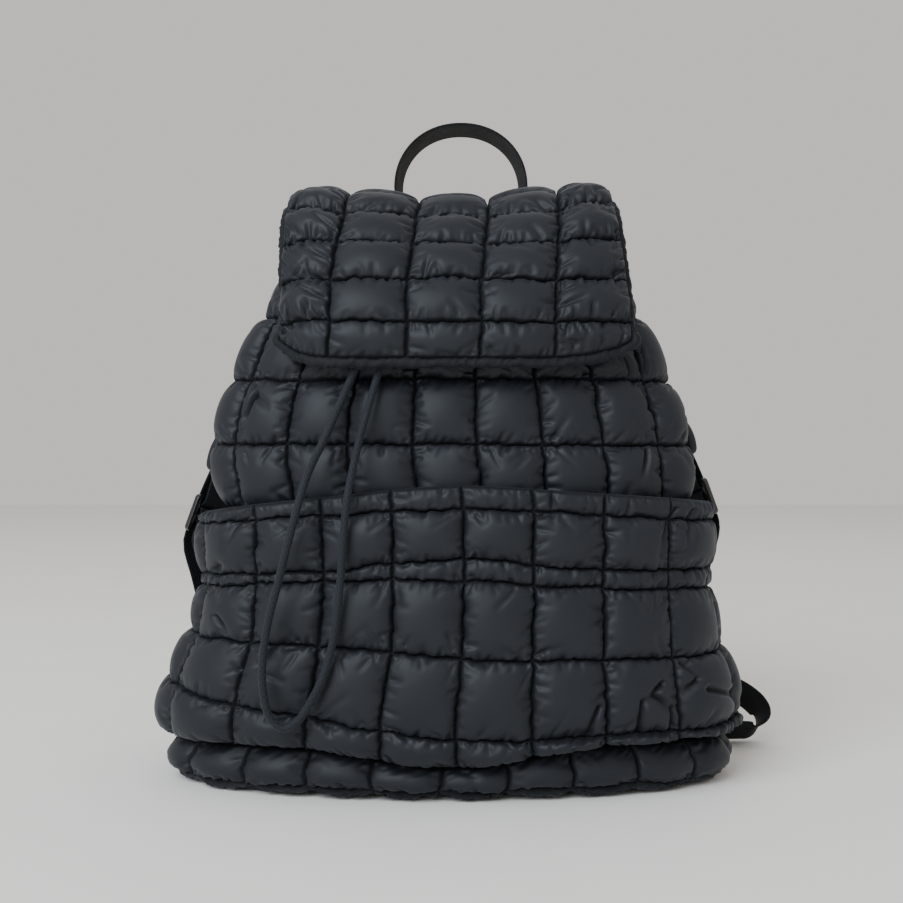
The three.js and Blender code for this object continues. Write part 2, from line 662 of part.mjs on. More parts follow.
// The piping sewn along the flap's sides and front edge
function flapPiping() {
  const { surface, length } = flapSurface();
  const SIDE_STEPS = 14;
  const FRONT_STEPS = 26;
  const SIDE_END = 0.9; // share of the side that is piped
  const route = [];
  const TUCKED_OUT = 0.35; // along the sides it lies mostly under the edge
  const stand = PIPING_RADIUS + SEAM_GAP;
  const tuckAt = (along) => THREE.MathUtils.smoothstep(along, FLAP_CORNER, 3 * FLAP_CORNER);
  const edgePoint = (across, along) => {
    return lifted(surface, across, along, -CLOTH * THREE.MathUtils.lerp(0.5, 1.35, tuckAt(along)));
  };
  const sideAt = (i) => (SIDE_END * length * i) / SIDE_STEPS + FLAP_CORNER;
  for (let i = SIDE_STEPS; i > 0; i -= 1) route.push([-1, sideAt(i)]);
  for (let i = 0; i <= FRONT_STEPS; i += 1) {
    const across = -Math.cos((Math.PI * i) / FRONT_STEPS);
    route.push([across, flapEdge(across)]);
  }
  for (let i = 1; i <= SIDE_STEPS; i += 1) route.push([1, sideAt(i)]);
  const kept = route.filter(([, along]) => along < SIDE_END * length);
  const points = kept.map(([across, along], i) => {
    const here = edgePoint(across, along);
    const before = edgePoint(...kept[Math.max(i - 1, 0)]);
    const after = edgePoint(...kept[Math.min(i + 1, kept.length - 1)]);
    const normal = lifted(surface, across, along, 1).sub(lifted(surface, across, along, 0)).normalize();
    const outward = after.sub(before).normalize().cross(normal).normalize();
    const tuck = tuckAt(along);
    const away = outward.multiplyScalar(THREE.MathUtils.lerp(1, TUCKED_OUT, tuck));
    away.addScaledVector(normal, -tuck * Math.sqrt(1 - TUCKED_OUT ** 2)).normalize();
    return here.addScaledVector(away, stand);
  });
  return tube(points, PIPING_RADIUS, 6, 46);
}

// A round tube along a smooth line through the points
function tube(points, radius, sides, steps) {
  const path = new THREE.CatmullRomCurve3(points.map((p) => (p.isVector3 ? p : new THREE.Vector3(...p))));
  const ring = new THREE.Shape();
  for (let i = 0; i < sides; i += 1) {
    const angle = (2 * Math.PI * i) / sides;
    const method = i === 0 ? "moveTo" : "lineTo";
    ring[method](radius * Math.cos(angle), radius * Math.sin(angle));
  }
  ring.closePath();
  return new THREE.ExtrudeGeometry(ring, { steps, extrudePath: path, bevelEnabled: false });
}

// One side of a padded strap's cross section, in shares of its half width and half thickness
const PADDED_EDGE = [[-1, 0], [-0.86, 0.75], [-0.4, 1], [0.4, 1], [0.86, 0.75]];

// A flat band along a line. Each station has a point, the band's outward normal and its width.
function band(stations, thickness, rounding) {
  const loops = stations.map(({ point, normal, width }, i) => {
    const before = stations[Math.max(i - 1, 0)].point;
    const after = stations[Math.min(i + 1, stations.length - 1)].point;
    const along = after.clone().sub(before).normalize();
    const side = new THREE.Vector3().crossVectors(along, normal).normalize();
    const out = new THREE.Vector3().crossVectors(side, along).normalize();
    const half = thickness / 2;
    const corners = rounding
      ? [...PADDED_EDGE, ...PADDED_EDGE.map(([a, b]) => [-a, -b])]
      : [[-1, 1], [1, 1], [1, -1], [-1, -1]];
    return corners.map(([a, b]) => {
      return point
        .clone()
        .addScaledVector(side, (a * width) / 2)
        .addScaledVector(out, b * half);
    });
  });
  return skinLoops(loops, false, loops[0].length / 2);
}

// The carrying loop: a webbing arch sewn to the flap's root behind the neck
function topHandle() {
  const STEPS = 20;
  const foot = NECK_START + HANDLE_FOOT;
  const rootFace = sectionAt(NECK_START).back + CLOTH + GAP + FLAP_ROOT_PUFF;
  const footOut = rootFace + GAP + WEBBING_THICKNESS;
  const arch = HANDLE_RISE - HANDLE_LEG;
  const stations = [];
  for (const side of [-1, 1]) {
    const leg = [0, 0.45, 0.8].map((share) => {
      const point = new THREE.Vector3(HANDLE_SHIFT + side * HANDLE_HALF_SPAN, 0, foot + share * HANDLE_LEG);
      const turn = THREE.MathUtils.smoothstep(share, 0.1, 0.8);
      const normal = new THREE.Vector3(side * turn, 1.02 - turn, 0).normalize();
      point.y = footOut + turn * HANDLE_LEAN;
      return { point, normal, width: WEBBING_WIDTH };
    });
    if (side < 0) stations.push(...leg);
    else {
      for (let i = 0; i <= STEPS; i += 1) {
        const turn = (Math.PI * i) / STEPS;
        const sideways = Math.abs(Math.cos(turn)) ** (2 / HANDLE_ROUNDNESS) * -Math.sign(Math.cos(turn));
        const up = Math.sin(turn) ** (2 / HANDLE_ROUNDNESS);
        const x = HANDLE_SHIFT + HANDLE_HALF_SPAN * sideways;
        const point = new THREE.Vector3(x, footOut + HANDLE_LEAN, foot + HANDLE_LEG + arch * up);
        const normal = new THREE.Vector3(-Math.cos(turn), HANDLE_TILT * up, Math.sin(turn)).normalize();
        stations.push({ point, normal, width: WEBBING_WIDTH });
      }
      stations.push(...leg.reverse());
    }
  }
  return band(stations, WEBBING_THICKNESS);
}

// How far out the back wall lies at a place across and up
function backFace(x, height) {
  const { halfWidth, back } = sectionAt(height);
  const share = Math.min(Math.abs(x) / halfWidth, 0.85);
  return back * (1 - share ** BACK_ROUNDNESS) ** (1 / BACK_ROUNDNESS);
}

// The buckle's own axes on one side of the bag
function lockFrame(side) {
  const centre = new THREE.Vector3(
    side * LOCK_PLACE.across * HALF_WIDTH,
    LOCK_PLACE.out * BACK_DEPTH,
    (side < 0 ? LOCK_PLACE.left : LOCK_PLACE.right) * BAG_HEIGHT,
  );
  const down = LOCK_DOWN.clone().normalize();
  const out = LOCK_OUT.clone().addScaledVector(down, -LOCK_OUT.dot(down)).normalize();
  const mirror = new THREE.Vector3(side, 1, 1);
  down.multiply(mirror);
  out.multiply(mirror);
  const wide = new THREE.Vector3().crossVectors(down, out);
  return { centre, down, out, wide };
}

const inFrame = ({ centre, down, out }, along, away) =>
  centre.clone().addScaledVector(down, along).addScaledVector(out, away);

// Half of a turn of webbing round one bar of the buckle
const WRAP_RADIUS = Math.hypot(LOCK_BAR, LOCK_THICKNESS) / 2 + GAP + WEBBING_THICKNESS / 2;
const BAR_PITCH = LOCK_BAR + LOCK_SLOT;
const STRAP_END = -BAR_PITCH - WRAP_RADIUS - STRAP_CLEARANCE; // along the buckle, from its middle bar

function wrapStations(frame, along, turnDown, fromOut) {
  const STEPS = 6;
  const stations = [];
  for (let i = 0; i <= STEPS; i += 1) {
    const angle = (Math.PI * i) / STEPS;
    const away = (fromOut ? 1 : -1) * Math.cos(angle) * WRAP_RADIUS;
    const beyond = (turnDown ? 1 : -1) * Math.sin(angle) * WRAP_RADIUS;
    const point = inFrame(frame, along + beyond, away);
    const normal = point.clone().sub(inFrame(frame, along, 0)).normalize();
    stations.push({ point, normal, width: WEBBING_WIDTH });
  }
  return stations;
}

function shoulderStrap(side) {
  const frame = lockFrame(side);
  const anchors = STRAP_ROUTE.map(({ across, up, away, wide }) => {
    const x = across * HALF_WIDTH;
    const height = up * BAG_HEIGHT;
    const y = backFace(x, height) + BACK_PUFF + GAP + STRAP_THICKNESS / 2 + away * STRAP_BOW;
    return { point: new THREE.Vector3(side * x, y, height), wide };
  });
  for (const before of [STRAP_TIP, 0]) {
    anchors.push({ point: inFrame(frame, STRAP_END - before, 0), wide: before > 0 ? 0.66 : 0.6 });
  }
  const path = new THREE.CatmullRomCurve3(anchors.map((anchor) => anchor.point));
  const STEPS = 15;
  const stations = [];
  for (let i = 0; i <= STEPS; i += 1) {
    const t = i / STEPS;
    const k = t * (anchors.length - 1);
    const wide = smooth(anchors.map((_, n) => n), anchors.map((anchor) => anchor.wide), k);
    const turn = THREE.MathUtils.smoothstep(t, 0.35, 1);
    const normal = new THREE.Vector3(0, 1, 0.15).lerp(frame.out, turn).normalize();
    stations.push({ point: path.getPoint(t), normal, width: STRAP_WIDTH * wide });
  }
  return band(stations, STRAP_THICKNESS, true);
}

// The webbing loop at the strap's end that holds the buckle's upper bar
function strapLoop(side) {
  const frame = lockFrame(side);
  const reach = STRAP_END + 2 * SEAM_GAP;
  const legs = (away) => [
    { point: inFrame(frame, reach, away * 0.45), normal: frame.out, width: WEBBING_WIDTH },
    { point: inFrame(frame, reach + 7, away * 0.8), normal: frame.out, width: WEBBING_WIDTH },
  ];
  const wrap = wrapStations(frame, -BAR_PITCH, true, true);
  const outer = legs(WRAP_RADIUS);
  const inner = legs(-WRAP_RADIUS).reverse();
  inner.forEach((station) => {
    station.normal = station.normal.clone().negate();
  });
  return band([...outer, ...wrap, ...inner], WEBBING_THICKNESS);
}

// The buckle: a flat frame with two slots between three bars
function ladderLock(side) {
  const frame = lockFrame(side);
  const half = LOCK_WIDTH / 2;
  const tall = BAR_PITCH + LOCK_BAR / 2;
  const outline = new THREE.Shape();
  const CORNER = 3;
  outline.moveTo(-half + CORNER, -tall);
  outline.lineTo(half - CORNER, -tall);
  outline.lineTo(half, -tall + CORNER);
  outline.lineTo(half, tall - CORNER);
  outline.lineTo(half - CORNER, tall);
  outline.lineTo(-half + CORNER, tall);
  outline.lineTo(-half, tall - CORNER);
  outline.lineTo(-half, -tall + CORNER);
  outline.closePath();
  const slotHalf = WEBBING_WIDTH / 2 + 1.2;
  for (const middle of [-BAR_PITCH / 2, BAR_PITCH / 2]) {
    const slot = new THREE.Path();
    slot.moveTo(-slotHalf, middle - LOCK_SLOT / 2);
    slot.lineTo(-slotHalf, middle + LOCK_SLOT / 2);
    slot.lineTo(slotHalf, middle + LOCK_SLOT / 2);
    slot.lineTo(slotHalf, middle - LOCK_SLOT / 2);
    slot.closePath();
    outline.holes.push(slot);
  }
  const geometry = new THREE.ExtrudeGeometry(outline, { depth: LOCK_THICKNESS, bevelEnabled: false });
  geometry.translate(0, 0, -LOCK_THICKNESS / 2);
  const upright = frame.down.clone().negate();
  const wide = new THREE.Vector3().crossVectors(upright, frame.out);
  const turned = new THREE.Matrix4().makeBasis(wide, upright, frame.out).setPosition(frame.centre);
  return geometry.applyMatrix4(turned);
}

// The lower webbing: a loose tail, over the buckle's middle bar, and down to the base's corner
function lowerWebbing(side, route) {
  const frame = lockFrame(side);
  const width = WEBBING_WIDTH;
  const below = inFrame(frame, WEBBING_BEND, WRAP_RADIUS);
  const hang = new THREE.Vector3(-side * TAIL_SWING.inward, TAIL_SWING.back, -TAIL_LENGTH);
  const tail = [1, 0.66, 0.33].map((share) => ({
    point: below.clone().addScaledVector(hang, share),
    normal: frame.out,
    width,
  }));
  const wrap = wrapStations(frame, 0, false, true);
  const anchors = [
    inFrame(frame, WEBBING_LEAD, -WRAP_RADIUS),
    inFrame(frame, WEBBING_BEND, -WRAP_RADIUS * 1.2),
  ];
  for (const { across, out, up } of route) {
    anchors.push(new THREE.Vector3(side * across * HALF_WIDTH, out * BACK_DEPTH, up * BAG_HEIGHT));
  }
  const path = new THREE.CatmullRomCurve3(anchors, false, "centripetal");
  const STEPS = 26;
  const runs = [];
  for (let i = 0; i <= STEPS; i += 1) {
    const t = i / STEPS;
    const point = path.getPointAt(t);
    const along = path.getTangentAt(t);
    const edgeOn = new THREE.Vector3(0, -side * 0.95, 0.2 * side);
    const wide = frame.wide.clone().lerp(edgeOn, THREE.MathUtils.smoothstep(t, 0, 0.35));
    const normal = new THREE.Vector3().crossVectors(along, wide).normalize().negate();
    runs.push({ point, normal, width });
  }
  const lead = { point: inFrame(frame, WEBBING_LEAD, WRAP_RADIUS), normal: frame.out, width };
  const foot = { point: below, normal: frame.out, width };
  return band([...tail, foot, lead, ...wrap, ...runs], WEBBING_THICKNESS);
}

const drawstring = () => tube(DRAWSTRING_ROUTE, CORD_RADIUS, 8, 56);

const bag = new THREE.Group();
function add(name, geometry, material) {
  const mesh = new THREE.Mesh(geometry, material);
  mesh.name = name;
  bag.add(mesh);
}

add("base_panel", basePanel(), nylon);
add("front_panel", frontPanel(), nylon);
add("back_panel", backPanel(), nylon);
add("neck_gather", neckGather(), nylon);
add("pocket_panel", pocketPanel(), nylon);
add("flap", flapPanel(), nylon);
add("flap_piping", flapPiping(), nylon);
add("top_handle", topHandle(), webbing);
add("drawstring", drawstring(), cordCloth);
for (const [name, side, route] of [["left", -1, STRAIGHT_WEBBING], ["right", 1, SLACK_WEBBING]]) {
  add(`shoulder_strap_${name}`, shoulderStrap(side), nylon);
  add(`strap_loop_${name}`, strapLoop(side), webbing);
  add(`ladder_lock_${name}`, ladderLock(side), plastic);
  add(`lower_webbing_${name}`, lowerWebbing(side, route), webbing);
}

export default bag;
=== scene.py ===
"""The sewn and stuffed look of the quilted drawstring backpack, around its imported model."""

import math

import bmesh
import bpy
import numpy as np
from bpy.props import FloatProperty, FloatVectorProperty, IntProperty, PointerProperty
from mathutils import Matrix, Vector


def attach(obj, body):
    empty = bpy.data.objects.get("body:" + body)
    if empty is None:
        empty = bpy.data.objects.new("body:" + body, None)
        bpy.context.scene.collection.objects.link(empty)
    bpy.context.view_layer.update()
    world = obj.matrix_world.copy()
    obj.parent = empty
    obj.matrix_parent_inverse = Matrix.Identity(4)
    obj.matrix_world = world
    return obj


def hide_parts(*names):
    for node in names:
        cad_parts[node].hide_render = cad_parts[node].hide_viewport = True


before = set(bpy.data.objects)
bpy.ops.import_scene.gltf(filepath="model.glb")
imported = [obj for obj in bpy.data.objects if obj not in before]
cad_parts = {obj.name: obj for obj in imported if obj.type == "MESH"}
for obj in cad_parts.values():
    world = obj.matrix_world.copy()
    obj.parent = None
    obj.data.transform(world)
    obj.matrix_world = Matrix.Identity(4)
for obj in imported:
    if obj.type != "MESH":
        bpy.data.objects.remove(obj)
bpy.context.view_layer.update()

bl_info = {
    "name": "Quilted drawstring backpack",
    "version": (1, 0, 0),
    "blender": (4, 5, 0),
    "location": "View3D > Sidebar > Backpack",
    "description": "Sews and stuffs the panels, cord, webbing and buckles of a quilted backpack",
    "category": "Object",
}

BODY = "root"
MM = 0.001

# Sizes, in millimetres

BAG_HEIGHT = 348
HALF_WIDTH = 165
FRONT_DEPTH = 66
BACK_DEPTH = 70
FRONT_ROUNDNESS = 2.3  # 2 is an ellipse, more is boxier
BACK_ROUNDNESS = 4
SIDE_SEAM_TURN = math.radians(128)  # from the middle of the front
CLOTH = 2.5
GAP = 0.3  # between pieces that touch
SEAM_GAP = 1  # between panels that are sewn together
QUILT_PITCH = 38.5  # between stitch lines
PRESSED_PUFF = 4  # of the squares that the pocket covers
MOUTH_PUFF = 2
BACK_PUFF = 6
POCKET_ROOM = 15.5  # how far the pocket stands off the bag
CASING_PUFF = 4
WAIST_PUFF = 5
POCKET_MIDDLE_SHIFT = 0.09  # of its stitch lines, in pitches
BODY_MIDDLE_SHIFT = 0.4
BASE_PUFF = 6
NECK_START = 327
NECK_PLEATS = 20
NECK_PLEAT_DEPTH = 3.2
FLAP_HALF_WIDTH = 110
FLAP_ROOT_PUFF = 2.5
FLAP_BORDER_PUFF = 5
FLAP_BORDER = 21
FLAP_CORNER = 11
FLAP_ROWS = 8
FLAP_LINE_RISE = 9  # of its rows of stitches, at the sides
FLAP_SIDE_FULLNESS = 1.2
PIPING_RADIUS = 3.2
WEBBING_THICKNESS = 1.6
WEBBING_SQUARENESS = 7  # of its cross section
HANDLE_HALF_SPAN = 43.5
HANDLE_RISE = 97
HANDLE_LEG = 55
HANDLE_ROUNDNESS = 2.1
HANDLE_TILT = 0.12
HANDLE_TWIST = 0.17  # its sides show their inner face a little to the front
HANDLE_SHIFT = 6.5
HANDLE_LEAN = 4
STRAP_WIDTH = 56
STRAP_THICKNESS = 10
STRAP_BOW = 30
LOCK_WIDTH = 35
LOCK_BAR = 4
LOCK_SLOT = 7.5
LOCK_THICKNESS = 4
TAIL_LENGTH = 62
TAIL_SWING = (15, 1.5)  # inwards and backwards, at its end
WEBBING_LEAD = 8  # how far the webbing runs straight from the buckle's bar
WEBBING_BEND = 18
EDGE_ON = np.array((0, -0.95, 0.2))  # the webbing's width where it hangs beside the bag
TWISTED = np.array((0.2, -0.72, 0.66))  # the same in the slack loop, which shows its face
CAMERA_DISTANCE = 807
CAMERA_HEIGHT = 206
FOCAL_LENGTH = 1250  # in the picture's pixels
PICTURE_WIDTH = 903
SENSOR_WIDTH = 36

# The bag's outline: up, wide, shift, front, back, as shares of the sizes above
BAG_SECTIONS = np.array([
    (0.057, 1.03, 0, 1.09, 0.95), (0.13, 0.985, -0.01, 1.03, 0.98), (0.23, 0.882, 0.01, 1, 1),
    (0.345, 0.85, 0.02, 1, 1), (0.474, 0.865, 0.02, 1, 1), (0.549, 0.9, 0.01, 1, 1),
    (0.603, 0.9, 0, 0.985, 1), (0.716, 0.83, 0, 0.9, 0.97), (0.833, 0.71, 0, 0.735, 0.914),
    (0.891, 0.635, 0, 0.63, 0.871), (0.94, 0.55, 0, 0.5, 0.814), (1, 0.36, 0, 0.33, 0.62),
]).T

# Stitch lines of the pocket from the base seam up: left, left of centre, centre, right of centre, right
POCKET_LINES = [
    (0.078, 0.085, 0.057, 0.088, 0.078), (0.15, 0.14, 0.103, 0.106, 0.095),
    (0.244, 0.263, 0.246, 0.239, 0.213), (0.343, 0.371, 0.373, 0.361, 0.342),
    (0.366, 0.388, 0.412, 0.391, 0.384), (0.468, 0.483, 0.493, 0.484, 0.468),
    (0.491, 0.514, 0.532, 0.52, 0.506),
]
LINE_STATIONS = (-1, -0.79, -0.34, 0, 0.34, 0.79, 1)
# How the pocket's stand-off grows with height: up, share
POCKET_STAND = np.array([
    (0.05, 0), (0.1, 0.62), (0.16, 0.95), (0.24, 1), (0.345, 0.86), (0.4, 0.84), (0.46, 0.84), (0.55, 0.8),
]).T

# Stitch lines of the bag itself; the rows below the pocket's mouth are pressed flat behind it
BODY_LINES = (0.16, 0.27, 0.38, 0.491, 0.603, 0.716, 0.833)
PRESSED_ROWS = 3

# Deep folds in the squares: column, row, column and row at the other end, width, depth
POCKET_FOLDS = (
    (3.38, 1.97, 3.2, 1.5, 2.2, 5), (2.47, 2.42, 2.7, 2.1, 2.4, 4), (2.9, 5.3, 2.56, 4.4, 1.9, 4.5),
    (3.4, 1.5, 3.7, 1.42, 1.6, 2.5), (3.71, 5.9, 3.66, 5.2, 1.5, 2.5), (4.3, 5.1, 4.35, 4.75, 1.5, 2.5),
    (7.26, 6, 7.26, 4.7, 1.7, 4.5), (8.36, 5.9, 8.3, 4.4, 1.8, 2.5), (9.1, 5.6, 8.76, 4.1, 1.9, 5.5),
    (9.36, 5.6, 9.2, 4.25, 1.7, 4.5), (8.75, 1.66, 8.45, 1.4, 2, 5), (8.45, 1.45, 8.3, 0.15, 2, 4.5),
    (8.64, 1.5, 8.9, 1.3, 1.9, 5), (8.88, 1.32, 8.8, 0.2, 1.8, 5), (9.26, 1.65, 9, 1.45, 1.9, 4),
    (9.38, 1.5, 10.4, 1.15, 2.2, 4.5), (9.1, 1.9, 9.35, 1.6, 1.8, 3.5), (7.88, 1.4, 7.5, 0.62, 2.2, 4),
    (6.6, 1.02, 6.75, 0.7, 1.6, 2.5), (5.3, 1.02, 5.42, 0.72, 1.5, 2.5),
)
FRONT_FOLDS = (
    (3.05, 6.4, 3.28, 5.7, 2, 3.5), (3.3, 5.75, 3.12, 5.05, 2.4, 6), (3.3, 5.75, 3.7, 5.5, 2, 3),
    (9.66, 6.3, 9.8, 5.9, 2, 4), (9.85, 5.9, 9.98, 5.4, 2, 4), (9.72, 4.9, 9.5, 4.4, 2.2, 4.5),
    (9.3, 6.6, 9.6, 6.2, 2, 4), (10.2, 6.5, 10, 5.8, 2, 3.5),
)

# The flap's middle line from its front edge up and back: out, up
FLAP_PROFILE = (
    (-1.22, 0.748), (-1.24, 0.799), (-1.03, 0.885), (-0.7, 0.961), (-0.29, 1.025),
    (0.17, 1.054), (0.56, 1.041), (0.79, 1.0),
)
# The flap's stitch lines: across, front, rear, front fall, rear fall
FLAP_COLUMNS = np.array([
    (-1, -0.935, -0.95, 0.2, -0.02), (-0.6, -0.65, -0.6, 0.03, -0.04), (-0.2, -0.235, -0.19, 0, -0.01),
    (0.2, 0.155, 0.215, 0, -0.01), (0.6, 0.555, 0.62, 0.045, -0.055), (1, 0.98, 0.93, 0.17, -0.05),
]).T

BASE_COLUMNS = (-1, -0.72, -0.43, -0.15, 0.15, 0.43, 0.72, 1)
BASE_ROWS = (-1, -0.38, 0.38, 1)
BASE_RIM_LINES = (0.8, 0.86, 1)  # shares of the way out: the rim's foot, its low stitch line, the seam
BASE_MIDDLE_SHIFT = -0.155
# The base's section from its middle out: share of the way, width, height
BASE_RIM = np.array([(0, 0, 0), (0.8, 0.98, 0), (0.86, 1.035, 0.07), (0.93, 1.045, 0.42), (1, 1, 1)]).T

# The straps' middle lines: across, up, away from the back, width
STRAP_ROUTE = (
    (0.235, 0.915, 0, 0.75), (0.3, 0.865, 0.1, 0.95), (0.42, 0.8, 0.5, 1),
    (0.58, 0.73, 0.8, 1), (0.76, 0.67, 0.7, 0.85),
)
LOCK_PLACE = {"across": 1.045, "out": 1.2, -1: 0.457, 1: 0.49}
LOCK_DOWN = (0.32, -0.1, -0.94)
LOCK_OUT = (0.8, 0.6, 0)
# The lower webbing's ways from the buckle to the corner: across, back, up
SLACK_WEBBING = (
    (0.95, 1.25, 0.3), (1, 1.26, 0.2), (1.13, 1.2, 0.13), (1.27, 1.13, 0.092), (1.325, 1.07, 0.06),
    (1.29, 1.05, 0.027), (1.19, 1.05, 0.012), (1.05, 1.05, 0.016), (0.93, 1.09, 0.045),
    (0.86, 1.07, 0.085), (0.8, 1.03, 0.11),
)
STRAIGHT_WEBBING = (
    (0.94, 1.27, 0.3), (0.93, 1.28, 0.2), (0.92, 1.24, 0.12), (0.9, 1.14, 0.085), (0.8, 1.03, 0.1),
)
DRAWSTRING_ROUTE = (
    (-6, -33, 339), (-14, -43.5, 331), (-24, -55, 314), (-36, -65, 294), (-48, -71.5, 272),
    (-58.5, -72, 250), (-66, -76, 232), (-74, -80.5, 213), (-82, -87, 195), (-87, -92.5, 178),
    (-93, -93.5, 155), (-99, -93.5, 131), (-105, -93.5, 107), (-108, -93.5, 84), (-107.5, -93, 68),
    (-104, -92.5, 54), (-96.5, -92.5, 47.5), (-88, -93, 52), (-80, -93.5, 64), (-73, -94, 78),
    (-68, -94, 96), (-65, -94, 116), (-63, -94, 138), (-61.5, -94, 160), (-59.5, -92.5, 180),
    (-56.5, -86, 198), (-53, -80.5, 215), (-48, -77, 234), (-43, -72.5, 252), (-36, -70, 273),
    (-28, -65.5, 294), (-18, -54.5, 313), (-7, -45.5, 328), (6, -33.5, 339),
)

SEAM_DEPTH = 1.9  # how far the thread pulls the cloth in
FAR = 9  # a distance from any stitch line at which the cloth looks plain
LINE_SAMPLES = 1200
OUTLINE_SAMPLES = 181
SQUARE_STEPS = 40  # mesh faces across one quilted square
PLAIN_STEPS = 22  # the same where nobody looks closely


# The user's sizes and colours


class BackpackSettings(bpy.types.PropertyGroup):
    """What a user would change about the backpack's look."""

    puff: FloatProperty(
        name="Puff",
        description="How far a full square stands out from its stitch lines",
        default=0.008,
        min=0.002,
        max=0.014,
        unit="LENGTH",
    )
    pucker: FloatProperty(
        name="Pucker",
        description="How deep the cloth scallops beside a row of stitches",
        default=0.0011,
        min=0.0,
        max=0.003,
        unit="LENGTH",
    )
    cord_thickness: FloatProperty(
        name="Cord thickness",
        description="Diameter of the drawstring",
        default=0.0046,
        min=0.002,
        max=0.006,
        unit="LENGTH",
    )
    webbing_width: FloatProperty(
        name="Webbing width",
        description="Width of the handle and the lower straps",
        default=0.025,
        min=0.015,
        max=0.03,
        unit="LENGTH",
    )
    seed: IntProperty(name="Seed", description="Number that the wrinkles grow from", default=7, min=1, max=999)
    nylon_colour: FloatVectorProperty(
        name="Nylon",
        description="Colour of the quilted cloth",
        default=(0.0104, 0.0120, 0.0158),
        min=0.0,
        max=1.0,
        subtype="COLOR",
    )
    webbing_colour: FloatVectorProperty(
        name="Webbing",
        description="Colour of the handle and the webbing straps",
        default=(0.0062, 0.0073, 0.0098),
        min=0.0,
        max=1.0,
        subtype="COLOR",
    )
    cord_colour: FloatVectorProperty(
        name="Cord",
        description="Colour of the braided drawstring",
        default=(0.0092, 0.0118, 0.0160),
        min=0.0,
        max=1.0,
        subtype="COLOR",
    )
    buckle_colour: FloatVectorProperty(
        name="Buckle",
        description="Colour of the moulded buckles",
        default=(0.006, 0.006, 0.007),
        min=0.0,
        max=1.0,
        subtype="COLOR",
    )
    floor_colour: FloatVectorProperty(
        name="Floor",
        description="Colour of the floor",
        default=(0.87, 0.85, 0.81),
        min=0.0,
        max=1.0,
        subtype="COLOR",
    )


def settings():
    return bpy.context.scene.backpack


# Curves and outlines


def smooth(xs, ys, x):
    """A smooth curve through the points (xs, ys), read at x."""
    xs, ys, x = np.asarray(xs, float), np.asarray(ys, float), np.asarray(x, float)
    last = len(xs) - 1
    before = np.maximum(np.arange(last + 1) - 1, 0)
    after = np.minimum(np.arange(last + 1) + 1, last)
    bends = (ys[after] - ys[before]) / (xs[after] - xs[before])
    i = np.searchsorted(xs[1:-1], x, side="left")
    width = xs[i + 1] - xs[i]
    t = np.clip((x - xs[i]) / width, -0.2, 1.2)
    t2, t3 = t**2, t**3
    return (
        (2 * t3 - 3 * t2 + 1) * ys[i]
        + (t3 - 2 * t2 + t) * bends[i] * width
        + (3 * t2 - 2 * t3) * ys[i + 1]
        + (t3 - t2) * bends[i + 1] * width
    )


def smoothstep(x, low, high):
    t = np.clip((x - low) / (high - low), 0, 1)
    return t * t * (3 - 2 * t)


def lerp(a, b, t):
    return a + (b - a) * t


def unit(vectors):
    return vectors / np.maximum(np.linalg.norm(vectors, axis=-1, keepdims=True), 1e-9)


def curve_points(points, t):
    """A centripetal Catmull-Rom line through the points, read at the shares t of its spans."""
    p = np.asarray(points, float)
    p = np.vstack([2 * p[0] - p[1], p, 2 * p[-1] - p[-2]])
    place = np.asarray(t, float) * (len(p) - 3)
    i = np.clip(place.astype(int), 0, len(p) - 4)
    w = (place - i)[:, None]
    a, b, c, d = p[i], p[i + 1], p[i + 2], p[i + 3]
    ab, bc, cd = (np.linalg.norm(y - x, axis=1, keepdims=True) ** 0.5 for x, y in ((a, b), (b, c), (c, d)))
    bc = np.where(bc < 1e-4, 1, bc)
    ab, cd = np.where(ab < 1e-4, bc, ab), np.where(cd < 1e-4, bc, cd)
    leave = ((b - a) / ab - (c - a) / (ab + bc) + (c - b) / bc) * bc
    arrive = ((c - b) / bc - (d - b) / (bc + cd) + (d - c) / cd) * bc
    return (
        b
        + leave * w
        + (-3 * b + 3 * c - 2 * leave - arrive) * w**2
        + (2 * b - 2 * c + leave + arrive) * w**3
    )


def lengths_along(points):
    steps = np.linalg.norm(np.diff(points, axis=0), axis=1)
    return np.concatenate([[0], np.cumsum(steps)])


def even_points(points, shares):
    """The same line, read at shares of its length."""
    t = np.linspace(0, 1, LINE_SAMPLES)
    run = lengths_along(curve_points(points, t))
    return curve_points(points, np.interp(np.asarray(shares) * run[-1], run, t))


def section(height):
    up = np.asarray(height, float) / BAG_HEIGHT
    return [
        size * smooth(BAG_SECTIONS[0], BAG_SECTIONS[k], up)
        for k, size in ((1, HALF_WIDTH), (2, HALF_WIDTH), (3, FRONT_DEPTH), (4, BACK_DEPTH))
    ]


def outline(turn, height):
    """Points of the bag's outline. turn: 0 at the front centre, a right angle at the right side."""
    wide, shift, front, back = section(height)
    sine, cosine = np.sin(turn), np.cos(turn)
    roundness = np.where(cosine > 0, FRONT_ROUNDNESS, BACK_ROUNDNESS)
    depth = np.where(cosine > 0, front, back)
    reach = (np.abs(sine) ** roundness + np.abs(cosine) ** roundness) ** (-1 / roundness)
    x, y = shift + wide * reach * sine, -depth * reach * cosine
    return np.stack([x, y, np.broadcast_to(np.asarray(height, float), x.shape)], axis=-1)


